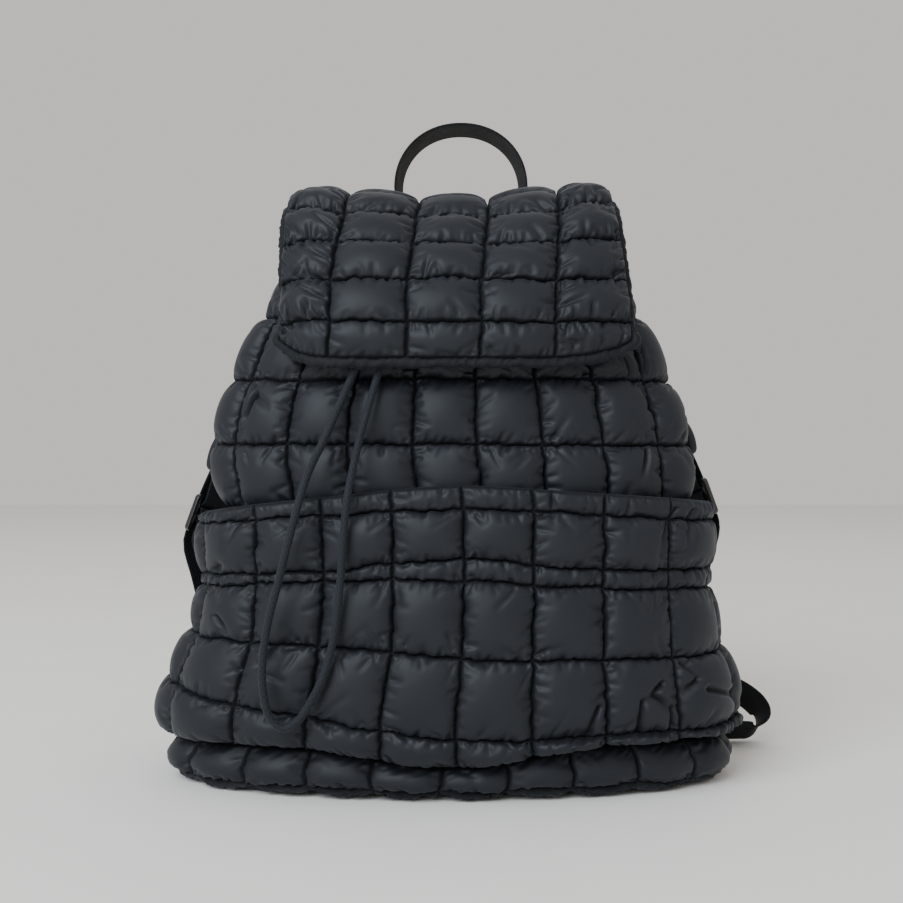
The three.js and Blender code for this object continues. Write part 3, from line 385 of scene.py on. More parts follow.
class Wall:
    """A wall of the bag between two turns, kept as a table of points and outward normals."""

    def __init__(self, start, end, facing):
        self.across = np.linspace(-1, 1, 241)
        self.heights = np.linspace(6, 360, 178)
        turns = np.linspace(start, end, OUTLINE_SAMPLES)
        rows = []
        for height in self.heights:
            run = lengths_along(outline(turns, height))
            turn = np.interp(np.abs(self.across) * run[-1], run, turns)
            rows.append(outline(turn * np.sign(self.across + 1e-12), height))
        self.points = np.stack(rows, axis=1)
        sideways = np.gradient(self.points, self.across, axis=0)
        upwards = np.gradient(self.points, self.heights, axis=1)
        self.normals = unit(np.cross(sideways, upwards)) * facing

    def read(self, table, across, height):
        x = (across - self.across[0]) / (self.across[1] - self.across[0])
        y = (height - self.heights[0]) / (self.heights[1] - self.heights[0])
        x, y = np.clip(x, 0, len(self.across) - 1.001), np.clip(y, 0, len(self.heights) - 1.001)
        i, j = x.astype(int), y.astype(int)
        u, v = (x - i)[..., None], (y - j)[..., None]
        low = table[i, j] * (1 - u) + table[i + 1, j] * u
        high = table[i, j + 1] * (1 - u) + table[i + 1, j + 1] * u
        return low * (1 - v) + high * v

    def at(self, across, height, lift=0.0):
        across, height = np.broadcast_arrays(np.asarray(across, float), np.asarray(height, float))
        point = self.read(self.points, across, height)
        return point + unit(self.read(self.normals, across, height)) * np.asarray(lift, float)[..., None]


FRONT_WALL = Wall(0, SIDE_SEAM_TURN, 1)
BACK_WALL = Wall(math.pi, SIDE_SEAM_TURN, -1)


def round_length(start, end, height):
    return lengths_along(outline(np.linspace(start, end, OUTLINE_SAMPLES), height))[-1]


def line_height(line, across):
    left, mid_left, centre, mid_right, right = POCKET_LINES[line]
    heights = (left, left, mid_left, centre, mid_right, right, right)
    return BAG_HEIGHT * smooth(LINE_STATIONS, heights, across)


BACK_SEAM_HEIGHT = float(line_height(0, 1))


def column_edges(half_length, shift):
    """Stitch lines a pitch apart between two ends, the first `shift` pitches off the centre."""
    edges = [-1.0]
    pitch = QUILT_PITCH / half_length
    sliver = 0.3 * pitch
    at = shift * pitch - math.floor(1 / pitch + 1) * pitch
    while at < 1:
        if -1 + sliver < at < 1 - sliver:
            edges.append(at)
        at += pitch
    return edges + [1.0]


def between_lines(lines, row):
    """Height at a row, where row k lies between lines k and k + 1."""
    i = np.clip(np.floor(row).astype(int), 0, len(lines) - 2)
    low, high = np.choose(i, lines[:-1]), np.choose(i, lines[1:])
    return lerp(low, high, row - i)


def front_surface(across, row):
    inset = 1 - SEAM_GAP / round_length(0, SIDE_SEAM_TURN, BAG_HEIGHT / 2)
    lines = [line_height(0, across) + SEAM_GAP]
    lines += [np.full_like(across, up * BAG_HEIGHT) for up in (*BODY_LINES, NECK_START / BAG_HEIGHT)]
    return FRONT_WALL.at(across * inset, between_lines(lines, row))


def back_surface(across, row):
    lines = [BACK_SEAM_HEIGHT + SEAM_GAP, *(up * BAG_HEIGHT for up in BODY_LINES), NECK_START]
    return BACK_WALL.at(-across, between_lines([np.full_like(across, line) for line in lines], row))


def pocket_surface(across, row):
    across = across * (1 - GAP / round_length(0, SIDE_SEAM_TURN, BAG_HEIGHT / 2))
    lines = [line_height(k, across) for k in range(len(POCKET_LINES))]
    height = between_lines(lines, row) + SEAM_GAP
    share = smooth(POCKET_STAND[0], POCKET_STAND[1], height / BAG_HEIGHT)
    stand = CLOTH + PRESSED_PUFF + POCKET_ROOM * share * (1 - np.abs(across) ** 10)
    return FRONT_WALL.at(across, height, stand)


def base_at(reach, turn):
    """The base's stitch surface: reach is the share of the way out, from its middle to the seam."""
    turns = np.linspace(0, SIDE_SEAM_TURN, OUTLINE_SAMPLES)
    run = lengths_along(outline(turns, BACK_SEAM_HEIGHT))
    across = np.interp(np.abs(turn), turns, run / run[-1]) * np.where(turn < 0, -1, 1)
    rim = lerp(line_height(0, across), BACK_SEAM_HEIGHT, smoothstep(np.abs(turn), SIDE_SEAM_TURN, math.pi))
    scale = np.interp(reach, BASE_RIM[0], BASE_RIM[1])
    turned = np.interp(reach, BASE_RIM[0], BASE_RIM[2])
    point = outline(turn, rim) * scale[..., None]
    point[..., 2] = lerp(BASE_PUFF, rim, turned)
    return point


def base_rim_surface(across, row):
    """The rim, from the ground to the seam; across runs all the way round from the back."""
    turns = np.linspace(0, math.pi, 361)
    run = lengths_along(outline(turns, BACK_SEAM_HEIGHT))
    turn = np.interp(np.abs(across) * run[-1], run, turns) * np.where(across < 0, -1, 1)
    return base_at(np.interp(row, (0, 1, 2), BASE_RIM_LINES), turn)


def base_floor_surface(p, q):
    """The part that lies on the ground: a square grid drawn into the bag's oval."""
    p, q = np.clip(p, -0.9985, 0.9985), np.clip(q, -0.9985, 0.9985)
    x, y = p * np.sqrt(1 - q**2 / 2), q * np.sqrt(1 - p**2 / 2)
    return base_at(np.hypot(x, y) * BASE_RIM_LINES[0], np.arctan2(x, -y))


def flap_line():
    points = [(0, out * (FRONT_DEPTH if out < 0 else BACK_DEPTH), up * BAG_HEIGHT) for out, up in FLAP_PROFILE]
    points.append((0, float(section(NECK_START)[3]) + GAP + CLOTH, NECK_START + GAP))
    line = curve_points(points, np.linspace(0, 1, LINE_SAMPLES))
    return line, lengths_along(line)


FLAP_LINE, FLAP_RUN = flap_line()
FLAP_LENGTH = float(FLAP_RUN[-1])


def flap_surface(across, along):
    """across: -1 to 1 between the flap's sides; along: millimetres from its front edge."""
    along = np.clip(along, 0, FLAP_LENGTH)
    point = np.stack([np.interp(along, FLAP_RUN, FLAP_LINE[:, k]) for k in range(3)], axis=-1)
    ahead = np.stack([np.interp(along + 1.5, FLAP_RUN, FLAP_LINE[:, k]) for k in range(3)], axis=-1)
    behind = np.stack([np.interp(along - 1.5, FLAP_RUN, FLAP_LINE[:, k]) for k in range(3)], axis=-1)
    forward = unit(ahead - behind)
    inward = np.stack([np.zeros_like(along), forward[..., 2], -forward[..., 1]], axis=-1)
    t = along / FLAP_LENGTH
    rear = smoothstep(t, 0.1, 0.6)
    columns = [smooth(FLAP_COLUMNS[0], FLAP_COLUMNS[k], across) * FLAP_HALF_WIDTH for k in (1, 2, 3, 4)]
    point[..., 0] = lerp(columns[0], columns[1], rear)
    fall = lerp(columns[2], columns[3], rear) * (1 - smoothstep(t, 0.72, 1))
    return point + inward * fall[..., None]


def flap_edge(across):
    share = np.clip((np.abs(across) - 0.55) / 0.45, 0, 1)
    return FLAP_CORNER * (1 - np.sqrt(1 - share**2))


def flap_trimmed(across, along):
    """The flap's face; its rows of stitches rise towards the sides, so that they look level."""
    start = flap_edge(across)
    rise = FLAP_LINE_RISE * smoothstep(np.abs(across), 0.45, 1)
    border = start + along * (FLAP_BORDER + rise - start) / FLAP_BORDER
    above = along + rise * (1 - smoothstep(along / FLAP_LENGTH, 0.6, 0.95))
    return flap_surface(across, np.where(along < FLAP_BORDER, border, above))


# Cloth


def ripple(seed, x, pitch):
    """Smooth random values between -1 and 1 along x, one for each pitch."""
    knots = np.random.default_rng(seed).uniform(-1, 1, 512)
    place = np.asarray(x, float) / pitch + 64
    i = np.floor(place).astype(int)
    t = place - i
    return lerp(knots[i % 512], knots[(i + 1) % 512], t * t * (3 - 2 * t))


def creases(seed, way, gap, pitch, reach):
    """Narrow valleys that run off a stitch line, each with its own place, depth, length and lean."""
    table = np.random.default_rng(seed).uniform(0, 1, (512, 4))
    total = np.zeros_like(way)
    for shift in (-1, 0, 1):
        k = np.floor(way / pitch).astype(int) + shift
        place, depth, length, lean = np.moveaxis(table[k % 512], -1, 0)
        centre = (k + 0.1 + 0.8 * place) * pitch + (lean - 0.5) * gap
        fade = np.maximum(1 - (gap / (reach * (0.35 + 0.65 * length))) ** 2, 0)
        total += depth**1.3 * fade * np.exp(-(((way - centre) / (0.85 + 0.09 * gap)) ** 2))
    return total


def valley(x, y, start, end, width):
    """A fold from start to end, 1 at its bottom near the start and running out at the end."""
    dx, dy = end[0] - start[0], end[1] - start[1]
    along = ((x - start[0]) * dx + (y - start[1]) * dy) / (dx * dx + dy * dy)
    t = np.clip(along, 0, 1)
    away = np.hypot(x - start[0] - t * dx, y - start[1] - t * dy)
    return np.exp(-((away / (width * (0.7 + 0.6 * t))) ** 2)) * (1 - t**2)


# Quilted cloth sewn flat and blown up by its filling. cell: the square's width and height in
# pitches, steps: mesh faces across and up one, extra: how much longer the cloth is than the seams,
# waves: how many folds the cloth starts with across and up a square, cells: squares across and up
SWATCHES = {
    "square": {
        "cell": (1, 1), "steps": (30, 30), "extra": (0.05, 0.06), "waves": (3, 3), "cells": (3, 3),
        "pressure": 6,
    },
    "ruched": {
        "cell": (1, 1), "steps": (30, 30), "extra": (0.02, 0.16), "waves": (0.8, 5), "cells": (3, 3),
        "pressure": 4,
    },
    "band": {
        "cell": (1, 0.33), "steps": (30, 10), "extra": (0.12, 0.03), "waves": (7, 0.6), "cells": (3, 5),
        "pressure": 6,
    },
}
SWATCH_SCALE = 10  # the solver is steadier on a cloth of about a metre
SWATCH_FRAMES = 22
FULLNESS = 0.62  # below 1, the filling stands up close to the stitches and the squares are flatter on top
sewn = {}


def swatch(kind):
    """Displacements inside the squares of a sewn swatch: a list of (rows, columns, 3) arrays."""
    if kind not in sewn:
        sewn[kind] = simulated_swatch(kind)
    return sewn[kind]


def simulated_swatch(kind):
    """Pins a cloth along its stitch lines, blows it up, and reads each square's shape."""
    plan = SWATCHES[kind]
    (across, up), (nu, nv) = plan["cells"], plan["steps"]
    width, height = (size * QUILT_PITCH * MM * SWATCH_SCALE for size in plan["cell"])
    cloth = grid_object("swatch", across * nu, up * nv)
    flat = grid_places(cloth, across * nu, up * nv)
    rng = np.random.default_rng(settings().seed + len(kind))
    u, v = flat[:, 0] / nu, flat[:, 1] / nv
    on_seam = (flat[:, 0] % nu == 0) | (flat[:, 1] % nv == 0)
    dome = np.abs(np.sin(np.pi * u) * np.sin(np.pi * v)) ** 0.5
    wave_u, wave_v = plan["waves"]
    waves = ripple(rng, u * wave_u + v * wave_v, 1) + ripple(rng, v * wave_v - u * wave_u + 90, 1)
    start = np.stack([u * width, v * height, dome * (0.02 + 0.004 * waves)], axis=-1)
    cloth.data.vertices.foreach_set("co", start.ravel())
    cloth.shape_key_add(name="sewn")
    cut = cloth.shape_key_add(name="cut")
    longer = start * np.array([1 + plan["extra"][0], 1 + plan["extra"][1], 1])
    cut.data.foreach_set("co", longer.ravel())
    pins = cloth.vertex_groups.new(name="stitches")
    pins.add(np.nonzero(on_seam)[0].tolist(), 1.0, "REPLACE")
    add_filling(cloth, pins, cut, plan["pressure"])
    for step in range(1, SWATCH_FRAMES + 1):
        bpy.context.scene.frame_set(step)
    blown = cloth.evaluated_get(bpy.context.evaluated_depsgraph_get()).to_mesh()
    places = np.zeros(len(u) * 3)
    blown.vertices.foreach_get("co", places)
    bpy.context.scene.frame_set(1)
    bpy.data.objects.remove(cloth)
    moved = places.reshape(-1, 3) - start * np.array([1, 1, 0])
    table = np.zeros((across * nu + 1, up * nv + 1, 3))
    table[flat[:, 0], flat[:, 1]] = moved / np.array([width, height, 1])
    squares = [
        table[i * nu : (i + 1) * nu + 1, j * nv : (j + 1) * nv + 1]
        for i in range(across)
        for j in range(up)
    ]
    full = np.median([square[..., 2].max() for square in squares])
    for square in squares:
        square[..., 2] = np.maximum(square[..., 2] / full, 0) ** FULLNESS
    return squares


def add_filling(cloth, pins, cut, pressure):
    """Sets up the cloth solver: held along the stitch lines, cut larger and pressed out from inside."""
    solver = cloth.modifiers.new("Filling", "CLOTH")
    solver.settings.quality = 5
    solver.settings.mass = 0.12
    solver.settings.air_damping = 3
    solver.settings.tension_stiffness = solver.settings.compression_stiffness = 14
    solver.settings.shear_stiffness = 6
    solver.settings.bending_stiffness = 1
    solver.settings.vertex_group_mass = pins.name
    solver.settings.rest_shape_key = cut
    solver.settings.use_pressure = True
    solver.settings.uniform_pressure_force = pressure
    solver.settings.effector_weights.gravity = 0
    solver.collision_settings.use_collision = False
    solver.point_cache.frame_start, solver.point_cache.frame_end = 1, SWATCH_FRAMES


def read_square(square, s, t, flipped):
    """One square's displacements at the shares s across and t up, mirrored if flipped."""
    if flipped:
        s = 1 - s
    x, y = s * (square.shape[0] - 1.001), t * (square.shape[1] - 1.001)
    i, j = x.astype(int), y.astype(int)
    u, v = (x - i)[:, None, None], (y - j)[None, :, None]
    low = square[i][:, j] * (1 - u) + square[i + 1][:, j] * u
    high = square[i][:, j + 1] * (1 - u) + square[i + 1][:, j + 1] * u
    values = low * (1 - v) + high * v
    return values * np.array([-1 if flipped else 1, 1, 1])


# Meshes


def grid_object(name, across, up):
    """A flat grid of faces."""
    bm = bmesh.new()
    bmesh.ops.create_grid(bm, x_segments=across, y_segments=up, size=1)
    return object_from(bm, name)


def object_from(bm, name):
    mesh = bpy.data.meshes.new(name)
    bm.to_mesh(mesh)
    bm.free()
    thing = bpy.data.objects.new(name, mesh)
    bpy.context.scene.collection.objects.link(thing)
    return thing


def coordinates(thing):
    places = np.zeros(len(thing.data.vertices) * 3)
    thing.data.vertices.foreach_get("co", places)
    return places.reshape(-1, 3)


def grid_places(thing, across, up):
    """Column and row of each vertex of a grid of size 1."""
    places = coordinates(thing)
    return np.rint((places[:, :2] + 1) / 2 * np.array([across, up])).astype(int)


def closed_sheet(name, across, up, lining_across, lining_up):
    """A fine grid over a coarse one, joined all round."""
    bm = bmesh.new()
    for height, columns, rows in ((1, across, up), (-1, lining_across, lining_up)):
        bmesh.ops.create_grid(
            bm, x_segments=columns, y_segments=rows, size=1, matrix=Matrix.Translation((0, 0, height))
        )
    bmesh.ops.bridge_loops(bm, edges=[edge for edge in bm.edges if edge.is_boundary])
    bmesh.ops.recalc_face_normals(bm, faces=bm.faces)
    return object_from(bm, name)


def wrapped_grid(name, around, along, capped=True):
    """A grid rolled into a closed tube; its vertices still tell their column and row."""
    bm = bmesh.new()
    bmesh.ops.create_grid(bm, x_segments=around, y_segments=along, size=1)
    for vertex in bm.verts:
        column, row = (vertex.co.x + 1) / 2, (vertex.co.y + 1) / 2
        turn = 2 * math.pi * column
        vertex.co = Vector((math.cos(turn), math.sin(turn), row))
    bmesh.ops.remove_doubles(bm, verts=bm.verts, dist=1e-5)
    if capped:
        bmesh.ops.holes_fill(bm, edges=[edge for edge in bm.edges if edge.is_boundary], sides=0)
    bmesh.ops.recalc_face_normals(bm, faces=bm.faces)
    return object_from(bm, name)


def tube_places(thing, around, along):
    places = coordinates(thing)
    column = np.rint(np.arctan2(places[:, 1], places[:, 0]) / (2 * math.pi) * around).astype(int) % around
    return column, np.rint(places[:, 2] * along).astype(int)


def finish_mesh(thing, places, uv=None, marks=None):
    """Puts the vertices in place, in metres, and stores the cloth's own coordinates and marks."""
    mesh = thing.data
    mesh.vertices.foreach_set("co", (np.asarray(places) * MM).ravel())
    if uv is not None:
        corners = np.zeros(len(mesh.loops), int)
        mesh.loops.foreach_get("vertex_index", corners)
        layer = mesh.uv_layers.new(name="cloth")
        layer.uv.foreach_set("vector", (np.asarray(uv) * MM)[corners].ravel())
    for name, values in (marks or {}).items():
        layer = mesh.attributes.new(name, "FLOAT", "POINT")
        layer.data.foreach_set("value", np.asarray(values, np.float32))
    mesh.polygons.foreach_set("use_smooth", np.ones(len(mesh.polygons), bool))
    mesh.update()
    return thing


def finish_piece(thing, material, slot, *nodes, fill=None):
    thing.data.materials.append(material)
    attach(thing, BODY)
    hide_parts(*nodes)


def mark_plain(thing, row_line=FAR):
    """Marks the whole piece as one distance from a row of stitches; close to one it gets the painted seam shade
    and is darker.
    """
    for name, away in (("column_line", FAR), ("row_line", row_line)):
        layer = thing.data.attributes.new(name, "FLOAT", "POINT")
        layer.data.foreach_set("value", np.full(len(thing.data.vertices), away, np.float32))


def stations(edges, counts):
    """Places between stitch lines, closer together beside them, with the square and the share of it."""
    at, cell, share = [], [], []
    for k, count in enumerate(counts):
        s = np.arange(count) / count
        s = s - 0.04 * np.sin(2 * math.pi * s)
        at.append(edges[k] + s * (edges[k + 1] - edges[k]))
        cell.append(np.full(count, k))
        share.append(s)
    at.append([edges[-1]])
    cell.append([len(counts) - 1])
    share.append([1.0])
    return np.concatenate(at), np.concatenate(cell), np.concatenate(share)


def frame_of(points):
    """Unit vectors across, up and out at each point of a grid of points."""
    across = unit(np.gradient(points, axis=0))
    up = unit(np.gradient(points, axis=1))
    return across, up, unit(np.cross(across, up))


def runs_along(points, axis):
    """Distances over a grid of points along one of its ways."""
    steps = np.linalg.norm(np.diff(points, axis=axis), axis=2)
    return np.insert(np.cumsum(steps, axis=axis), 0, 0, axis=axis)


def press_dents(lift, s, t, wide, tall, puff, rng):
    """Presses a few folds into a square's heights, each from near a corner towards its middle."""
    x, y = s[:, None] * wide, t[None, :] * tall
    size = np.array((wide, tall))
    edge = smoothstep(np.minimum(s, 1 - s), 0, 0.1)[:, None] * smoothstep(np.minimum(t, 1 - t), 0, 0.1)
    for _ in range(rng.integers(1, 6)):
        corner = np.array((rng.integers(2), rng.integers(2)))
        start = lerp(corner, 0.5, rng.uniform(0.05, 0.75, 2) * (1, 0.4))
        end = start + (0.5 - corner) * rng.uniform(0.1, 0.75, 2)
        dent = valley(x, y, start * size, end * size, rng.uniform(1.1, 2.4))
        lift -= dent * edge * rng.uniform(0.5, 2.2) * min(puff / 8, 1)


def press_folds(lift, folds, place_u, place_v, to_row):
    """Presses the listed folds into a panel's heights; returns how near each point is to one, which the nylon
    turns into painted shade.
    """
    creased = np.full(lift.shape, float(FAR))
    for column, row, end_column, end_row, width, depth in folds:
        start, end = np.array((column, row)) * QUILT_PITCH, np.array((end_column, end_row)) * QUILT_PITCH
        fold = valley(place_u, place_v, start, end, width)
        lift -= depth * fold * smoothstep(to_row, 0, 1.5) * np.clip(lift / 4, 0, 1)
        creased = np.minimum(creased, np.maximum(4.4 * (1 - fold * min(depth / 4, 1)), 0.5))
    return creased


def quilted_panel(
    name, surface, columns, rows, puff_at, kind_at, steps_at, seed, facing=1, folds=(), gather_at=lambda i, j: 1
):
    """A stuffed panel over a surface. puff_at, kind_at, steps_at and gather_at take a square's
    column and row. folds: column, row, column and row at the other end, width and depth."""
    column_count, row_count = len(columns) - 1, len(rows) - 1
    u, u_cell, u_share = stations(columns, [steps_at(None)] * column_count)
    v, v_cell, v_share = stations(rows, [steps_at(j) for j in range(row_count)])
    grid_u, grid_v = np.meshgrid(u, v, indexing="ij")
    flat = surface(grid_u, grid_v)
    across, up, out = frame_of(flat)
    out = out * facing
    run_u, run_v = runs_along(flat, 0), runs_along(flat, 1)
    rng = np.random.default_rng(seed)
    moved = np.zeros_like(flat)
    gather = np.ones(flat.shape[:2])
    to_column, to_row = np.full(flat.shape[:2], 99.0), np.full(flat.shape[:2], 99.0)
    starts_u = [np.nonzero(u_cell == i)[0][0] for i in range(column_count)] + [len(u) - 1]
    starts_v = [np.nonzero(v_cell == j)[0][0] for j in range(row_count)] + [len(v) - 1]
    for i in range(column_count):
        for j in range(row_count):
            a, b = slice(starts_u[i], starts_u[i + 1] + 1), slice(starts_v[j], starts_v[j + 1] + 1)
            s, t = u_share[a].copy(), v_share[b].copy()
            s[-1], t[-1] = 1.0, 1.0
            wide = run_u[a, b][-1] - run_u[a, b][0]
            tall = run_v[a, b][:, -1] - run_v[a, b][:, 0]
            squares = swatch(kind_at(i, j))
            square = squares[rng.integers(len(squares))]
            pushed = read_square(square, s, t, bool(rng.integers(2)))
            puff = puff_at(i, j) * (1 + 0.1 * rng.uniform(-1, 1))
            moved[a, b] = pushed * np.stack(
                [np.broadcast_to(wide, pushed.shape[:2]), np.broadcast_to(tall[:, None], pushed.shape[:2]),
                 np.full(pushed.shape[:2], puff)], axis=-1,
            )
            gather[a, b] = gather_at(i, j)
            press_dents(moved[a, b, 2], s, t, np.mean(wide), np.mean(tall), puff, rng)
            near_u = np.minimum(s, 1 - s)[:, None] * wide[None, :]
            near_v = np.minimum(t, 1 - t)[None, :] * tall[:, None]
            to_column[a, b] = np.minimum(to_column[a, b], near_u)
            to_row[a, b] = np.minimum(to_row[a, b], near_v)
    place_u = (u_cell + u_share)[:, None] * QUILT_PITCH
    place_v = (v_cell + v_share)[None, :] * QUILT_PITCH
    creased = press_folds(moved[..., 2], folds, place_u, place_v, to_row)
    wobble_seams(moved, run_u, run_v, u_cell, u_share, v_cell, v_share, to_column, to_row, seed, gather)
    outer = flat + across * moved[..., :1] + up * moved[..., 1:2] + out * moved[..., 2:]
    lining = flat - out * CLOTH
    half = ((len(u) - 1) // 2, (len(v) - 1) // 2)
    thing = closed_sheet(name, len(u) - 1, len(v) - 1, *half)
    top = coordinates(thing)[:, 2] > 0
    where = np.where(top[:, None], grid_places(thing, len(u) - 1, len(v) - 1), grid_places(thing, *half) * 2)
    i, j = where[:, 0], where[:, 1]
    places = np.where(top[:, None], outer[i, j], lining[i, j])
    if facing < 0:
        thing.data.flip_normals()
    uv = np.stack([run_u[i, j], run_v[i, j]], axis=-1)
    # the folds take the same painted shade as a row of stitches
    to_row = np.minimum(to_row, creased)
    marks = {"column_line": np.where(top, to_column[i, j], FAR), "row_line": np.where(top, to_row[i, j], FAR)}
    return finish_mesh(thing, places, uv, marks)


def wobble_seams(moved, run_u, run_v, u_cell, u_share, v_cell, v_share, to_column, to_row, seed, gather):
    """Closes the cloth over its stitch lines, puckers it beside them and lets the lines wander."""
    depth = settings().pucker / MM
    full = np.clip(moved[..., 2] / 4, 0, 1)
    clear = smoothstep(to_column, 0, 3) * smoothstep(to_row, 0, 2) * np.clip(moved[..., 2] / 3, 0, 1)
    # Along rows, then columns: axis, square, share of it, distance, way, strength of the scallops and
    # their pitch, the creases' spacing and reach, and how far the cloth laps over the thread
    sets = (
        (1, v_cell, v_share, to_row, run_u, 1.0, 2.1, 4.0, 9.0, 0.75),
        (0, u_cell, u_share, to_column, run_v, 0.9, 2.5, 5.0, 13.0, 0.4),
    )
    for axis, cell, share, away, run, strength, pitch, spacing, reach, close in sets:
        lines = cell + (share > 0.5)
        for line in np.unique(lines):
            inside = cell[0] < line < cell[-1] + 1
            for part in (False, True):
                k = np.nonzero((lines == line) & ((share > 0.5) == part))[0]
                if len(k) == 0:
                    continue
                here = (slice(None), k) if axis else (k, slice(None))
                seeds = seed * 100 + line * 2 + part + axis * 1000
                way, gap, more = run[here], away[here], gather[here]
                scallop = ripple(seeds, way, pitch) * np.exp(-gap / 2.2)
                crease = creases(seeds + 1, way, gap, spacing, reach * np.clip(more, 1, 1.5))
                moved[here + (2,)] += depth * strength * (1.2 * scallop - 2.6 * more * crease) * clear[here]
                if inside:
                    lap = close + 0.6 * ripple(seeds + 3, way, pitch) + 0.5 * ripple(seeds + 4, way, 9)
                    lap *= (gap / 2.4) * np.exp(1 - gap / 2.4) * full[here]
                    moved[here + (axis,)] += lap if part else -lap
            k = np.nonzero(lines == line)[0]
            if inside:
                here = (slice(None), k) if axis else (k, slice(None))
                wander = 0.8 * strength * ripple(seed * 41 + line, run[here], pitch * 1.5)
                wander += 0.9 * ripple(seed * 3 + line + axis * 50, run[here], 18)
                moved[here + (axis,)] += wander * np.exp(-((away[here] / 4) ** 2))
    nearest = np.minimum(to_column, to_row)
    moved[..., 2] -= SEAM_DEPTH * np.exp(-((nearest / 0.9) ** 2))


def ring_profile(count, squareness):
    """Points round a unit cross section, from an ellipse at 2 towards a box at 10."""
    turn = 2 * np.pi * np.arange(count) / count
    cosine, sine = np.cos(turn), np.sin(turn)
    power = 2 / squareness
    return np.stack([np.sign(cosine) * np.abs(cosine) ** power, np.sign(sine) * np.abs(sine) ** power], axis=-1)


def sweep(name, points, normals, widths, thickness, profile, shape=None):
    """A cross section carried along a line; shape may change its points at each station."""
    before = np.vstack([points[:1], points[:-1]])
    after = np.vstack([points[1:], points[-1:]])
    along = unit(after - before)
    side = unit(np.cross(along, normals))
    out = unit(np.cross(side, along))
    run = lengths_along(points)
    a = profile[None, :, 0] * np.asarray(widths)[:, None] / 2
    b = np.broadcast_to(profile[None, :, 1] * thickness / 2, a.shape)
    if shape is not None:
        a, b = shape(a, b, run[:, None])
    rings = points[:, None] + side[:, None] * a[..., None] + out[:, None] * b[..., None]
    thing = wrapped_grid(name, len(profile), len(points) - 1)
    column, row = tube_places(thing, len(profile), len(points) - 1)
    uv = np.stack([a[row, column], run[row]], axis=-1)
    return finish_mesh(thing, rings[row, column], uv)


def tube(name, points, radius, sides, shape=None):
    """A round tube along a line, with its own cloth coordinates round and along it."""
    count = len(points)
    before = np.vstack([points[:1], points[:-1]])
    after = np.vstack([points[1:], points[-1:]])
    along = unit(after - before)
    normal = np.zeros_like(points)
    normal[0] = unit(np.cross(along[0], (0.3, 0.9, 0.2)))
    for k in range(1, count):
        normal[k] = unit(normal[k - 1] - along[k] * np.dot(normal[k - 1], along[k]))
    side = np.cross(along, normal)
    turn = 2 * np.pi * np.arange(sides) / sides
    run = lengths_along(points)
    reach = np.full((count, sides), float(radius))
    if shape is not None:
        reach = shape(reach, turn[None, :], run[:, None])
    rings = (
        points[:, None]
        + normal[:, None] * (reach * np.cos(turn))[..., None]
        + side[:, None] * (reach * np.sin(turn))[..., None]
    )
    thing = wrapped_grid(name, sides, count - 1)
    column, row = tube_places(thing, sides, count - 1)
    uv = np.stack([turn[column] * radius, run[row]], axis=-1)
    return finish_mesh(thing, rings[row, column], uv)


def ribbon(name, points, normals, pitch, sides):
    """Webbing along a line; normals are the way that its face looks, one for each point."""
    count = max(int(lengths_along(np.asarray(points))[-1] / pitch), 8)
    t = np.linspace(0, 1, count)
    widths = np.full(count, settings().webbing_width / MM)
    faces = unit(curve_points(normals, t))
    profile = ring_profile(sides, WEBBING_SQUARENESS)
    return sweep(name, curve_points(points, t), faces, widths, WEBBING_THICKNESS, profile)


# Materials


def group(name, inputs, outputs):
    tree = bpy.data.node_groups.new(name, "ShaderNodeTree")
    for label, kind, default in inputs:
        socket = tree.interface.new_socket(name=label, in_out="INPUT", socket_type=kind)
        if default is not None:
            socket.default_value = default
    for label, kind in outputs:
        tree.interface.new_socket(name=label, in_out="OUTPUT", socket_type=kind)
    return tree, tree.nodes.new("NodeGroupInput"), tree.nodes.new("NodeGroupOutput")


def math_node(tree, operation, *values, clamp=False):
    node = tree.nodes.new("ShaderNodeMath")
    node.operation = operation
    node.use_clamp = clamp
    for k, value in enumerate(values):
        if isinstance(value, (int, float)):
            node.inputs[k].default_value = value
        else:
            tree.links.new(value, node.inputs[k])
    return node.outputs[0]


def stitches_group():
    """Dashes of thread along a stitch line: a mask from the distance to the line and the way along it."""
    if "Stitches" in bpy.data.node_groups:
        return bpy.data.node_groups["Stitches"]
    tree, given, result = group(
        "Stitches",
        [("Distance", "NodeSocketFloat", 9.0), ("Along", "NodeSocketFloat", 0.0),
         ("Stitch", "NodeSocketFloat", 0.003), ("Thread", "NodeSocketFloat", 0.35)],
        [("Mask", "NodeSocketFloat")],
    )
    place = math_node(tree, "DIVIDE", given.outputs["Along"], given.outputs["Stitch"])
    dash = math_node(tree, "LESS_THAN", math_node(tree, "FRACT", place), 0.72)
    near = math_node(tree, "LESS_THAN", given.outputs["Distance"], given.outputs["Thread"])
    tree.links.new(math_node(tree, "MULTIPLY", dash, near), result.inputs["Mask"])
    return tree


def weave_group():
    """Over-and-under threads on the cloth's own coordinates: a height."""
    if "Weave" in bpy.data.node_groups:
        return bpy.data.node_groups["Weave"]
    tree, given, result = group(
        "Weave",
        [("Cloth", "NodeSocketVector", None), ("Across", "NodeSocketFloat", 0.0004),
         ("Along", "NodeSocketFloat", 0.0004)],
        [("Height", "NodeSocketFloat")],
    )
    split = tree.nodes.new("ShaderNodeSeparateXYZ")
    tree.links.new(given.outputs["Cloth"], split.inputs[0])
    waves = []
    for axis, size in ((0, "Across"), (1, "Along")):
        turns = math_node(tree, "DIVIDE", split.outputs[axis], given.outputs[size])
        waves.append(math_node(tree, "SINE", math_node(tree, "MULTIPLY", turns, math.pi)))
    weave = math_node(tree, "MULTIPLY", waves[0], waves[1])
    height = math_node(tree, "MULTIPLY_ADD", weave, 0.5, 0.5)
    tree.links.new(height, result.inputs["Height"])
    return tree


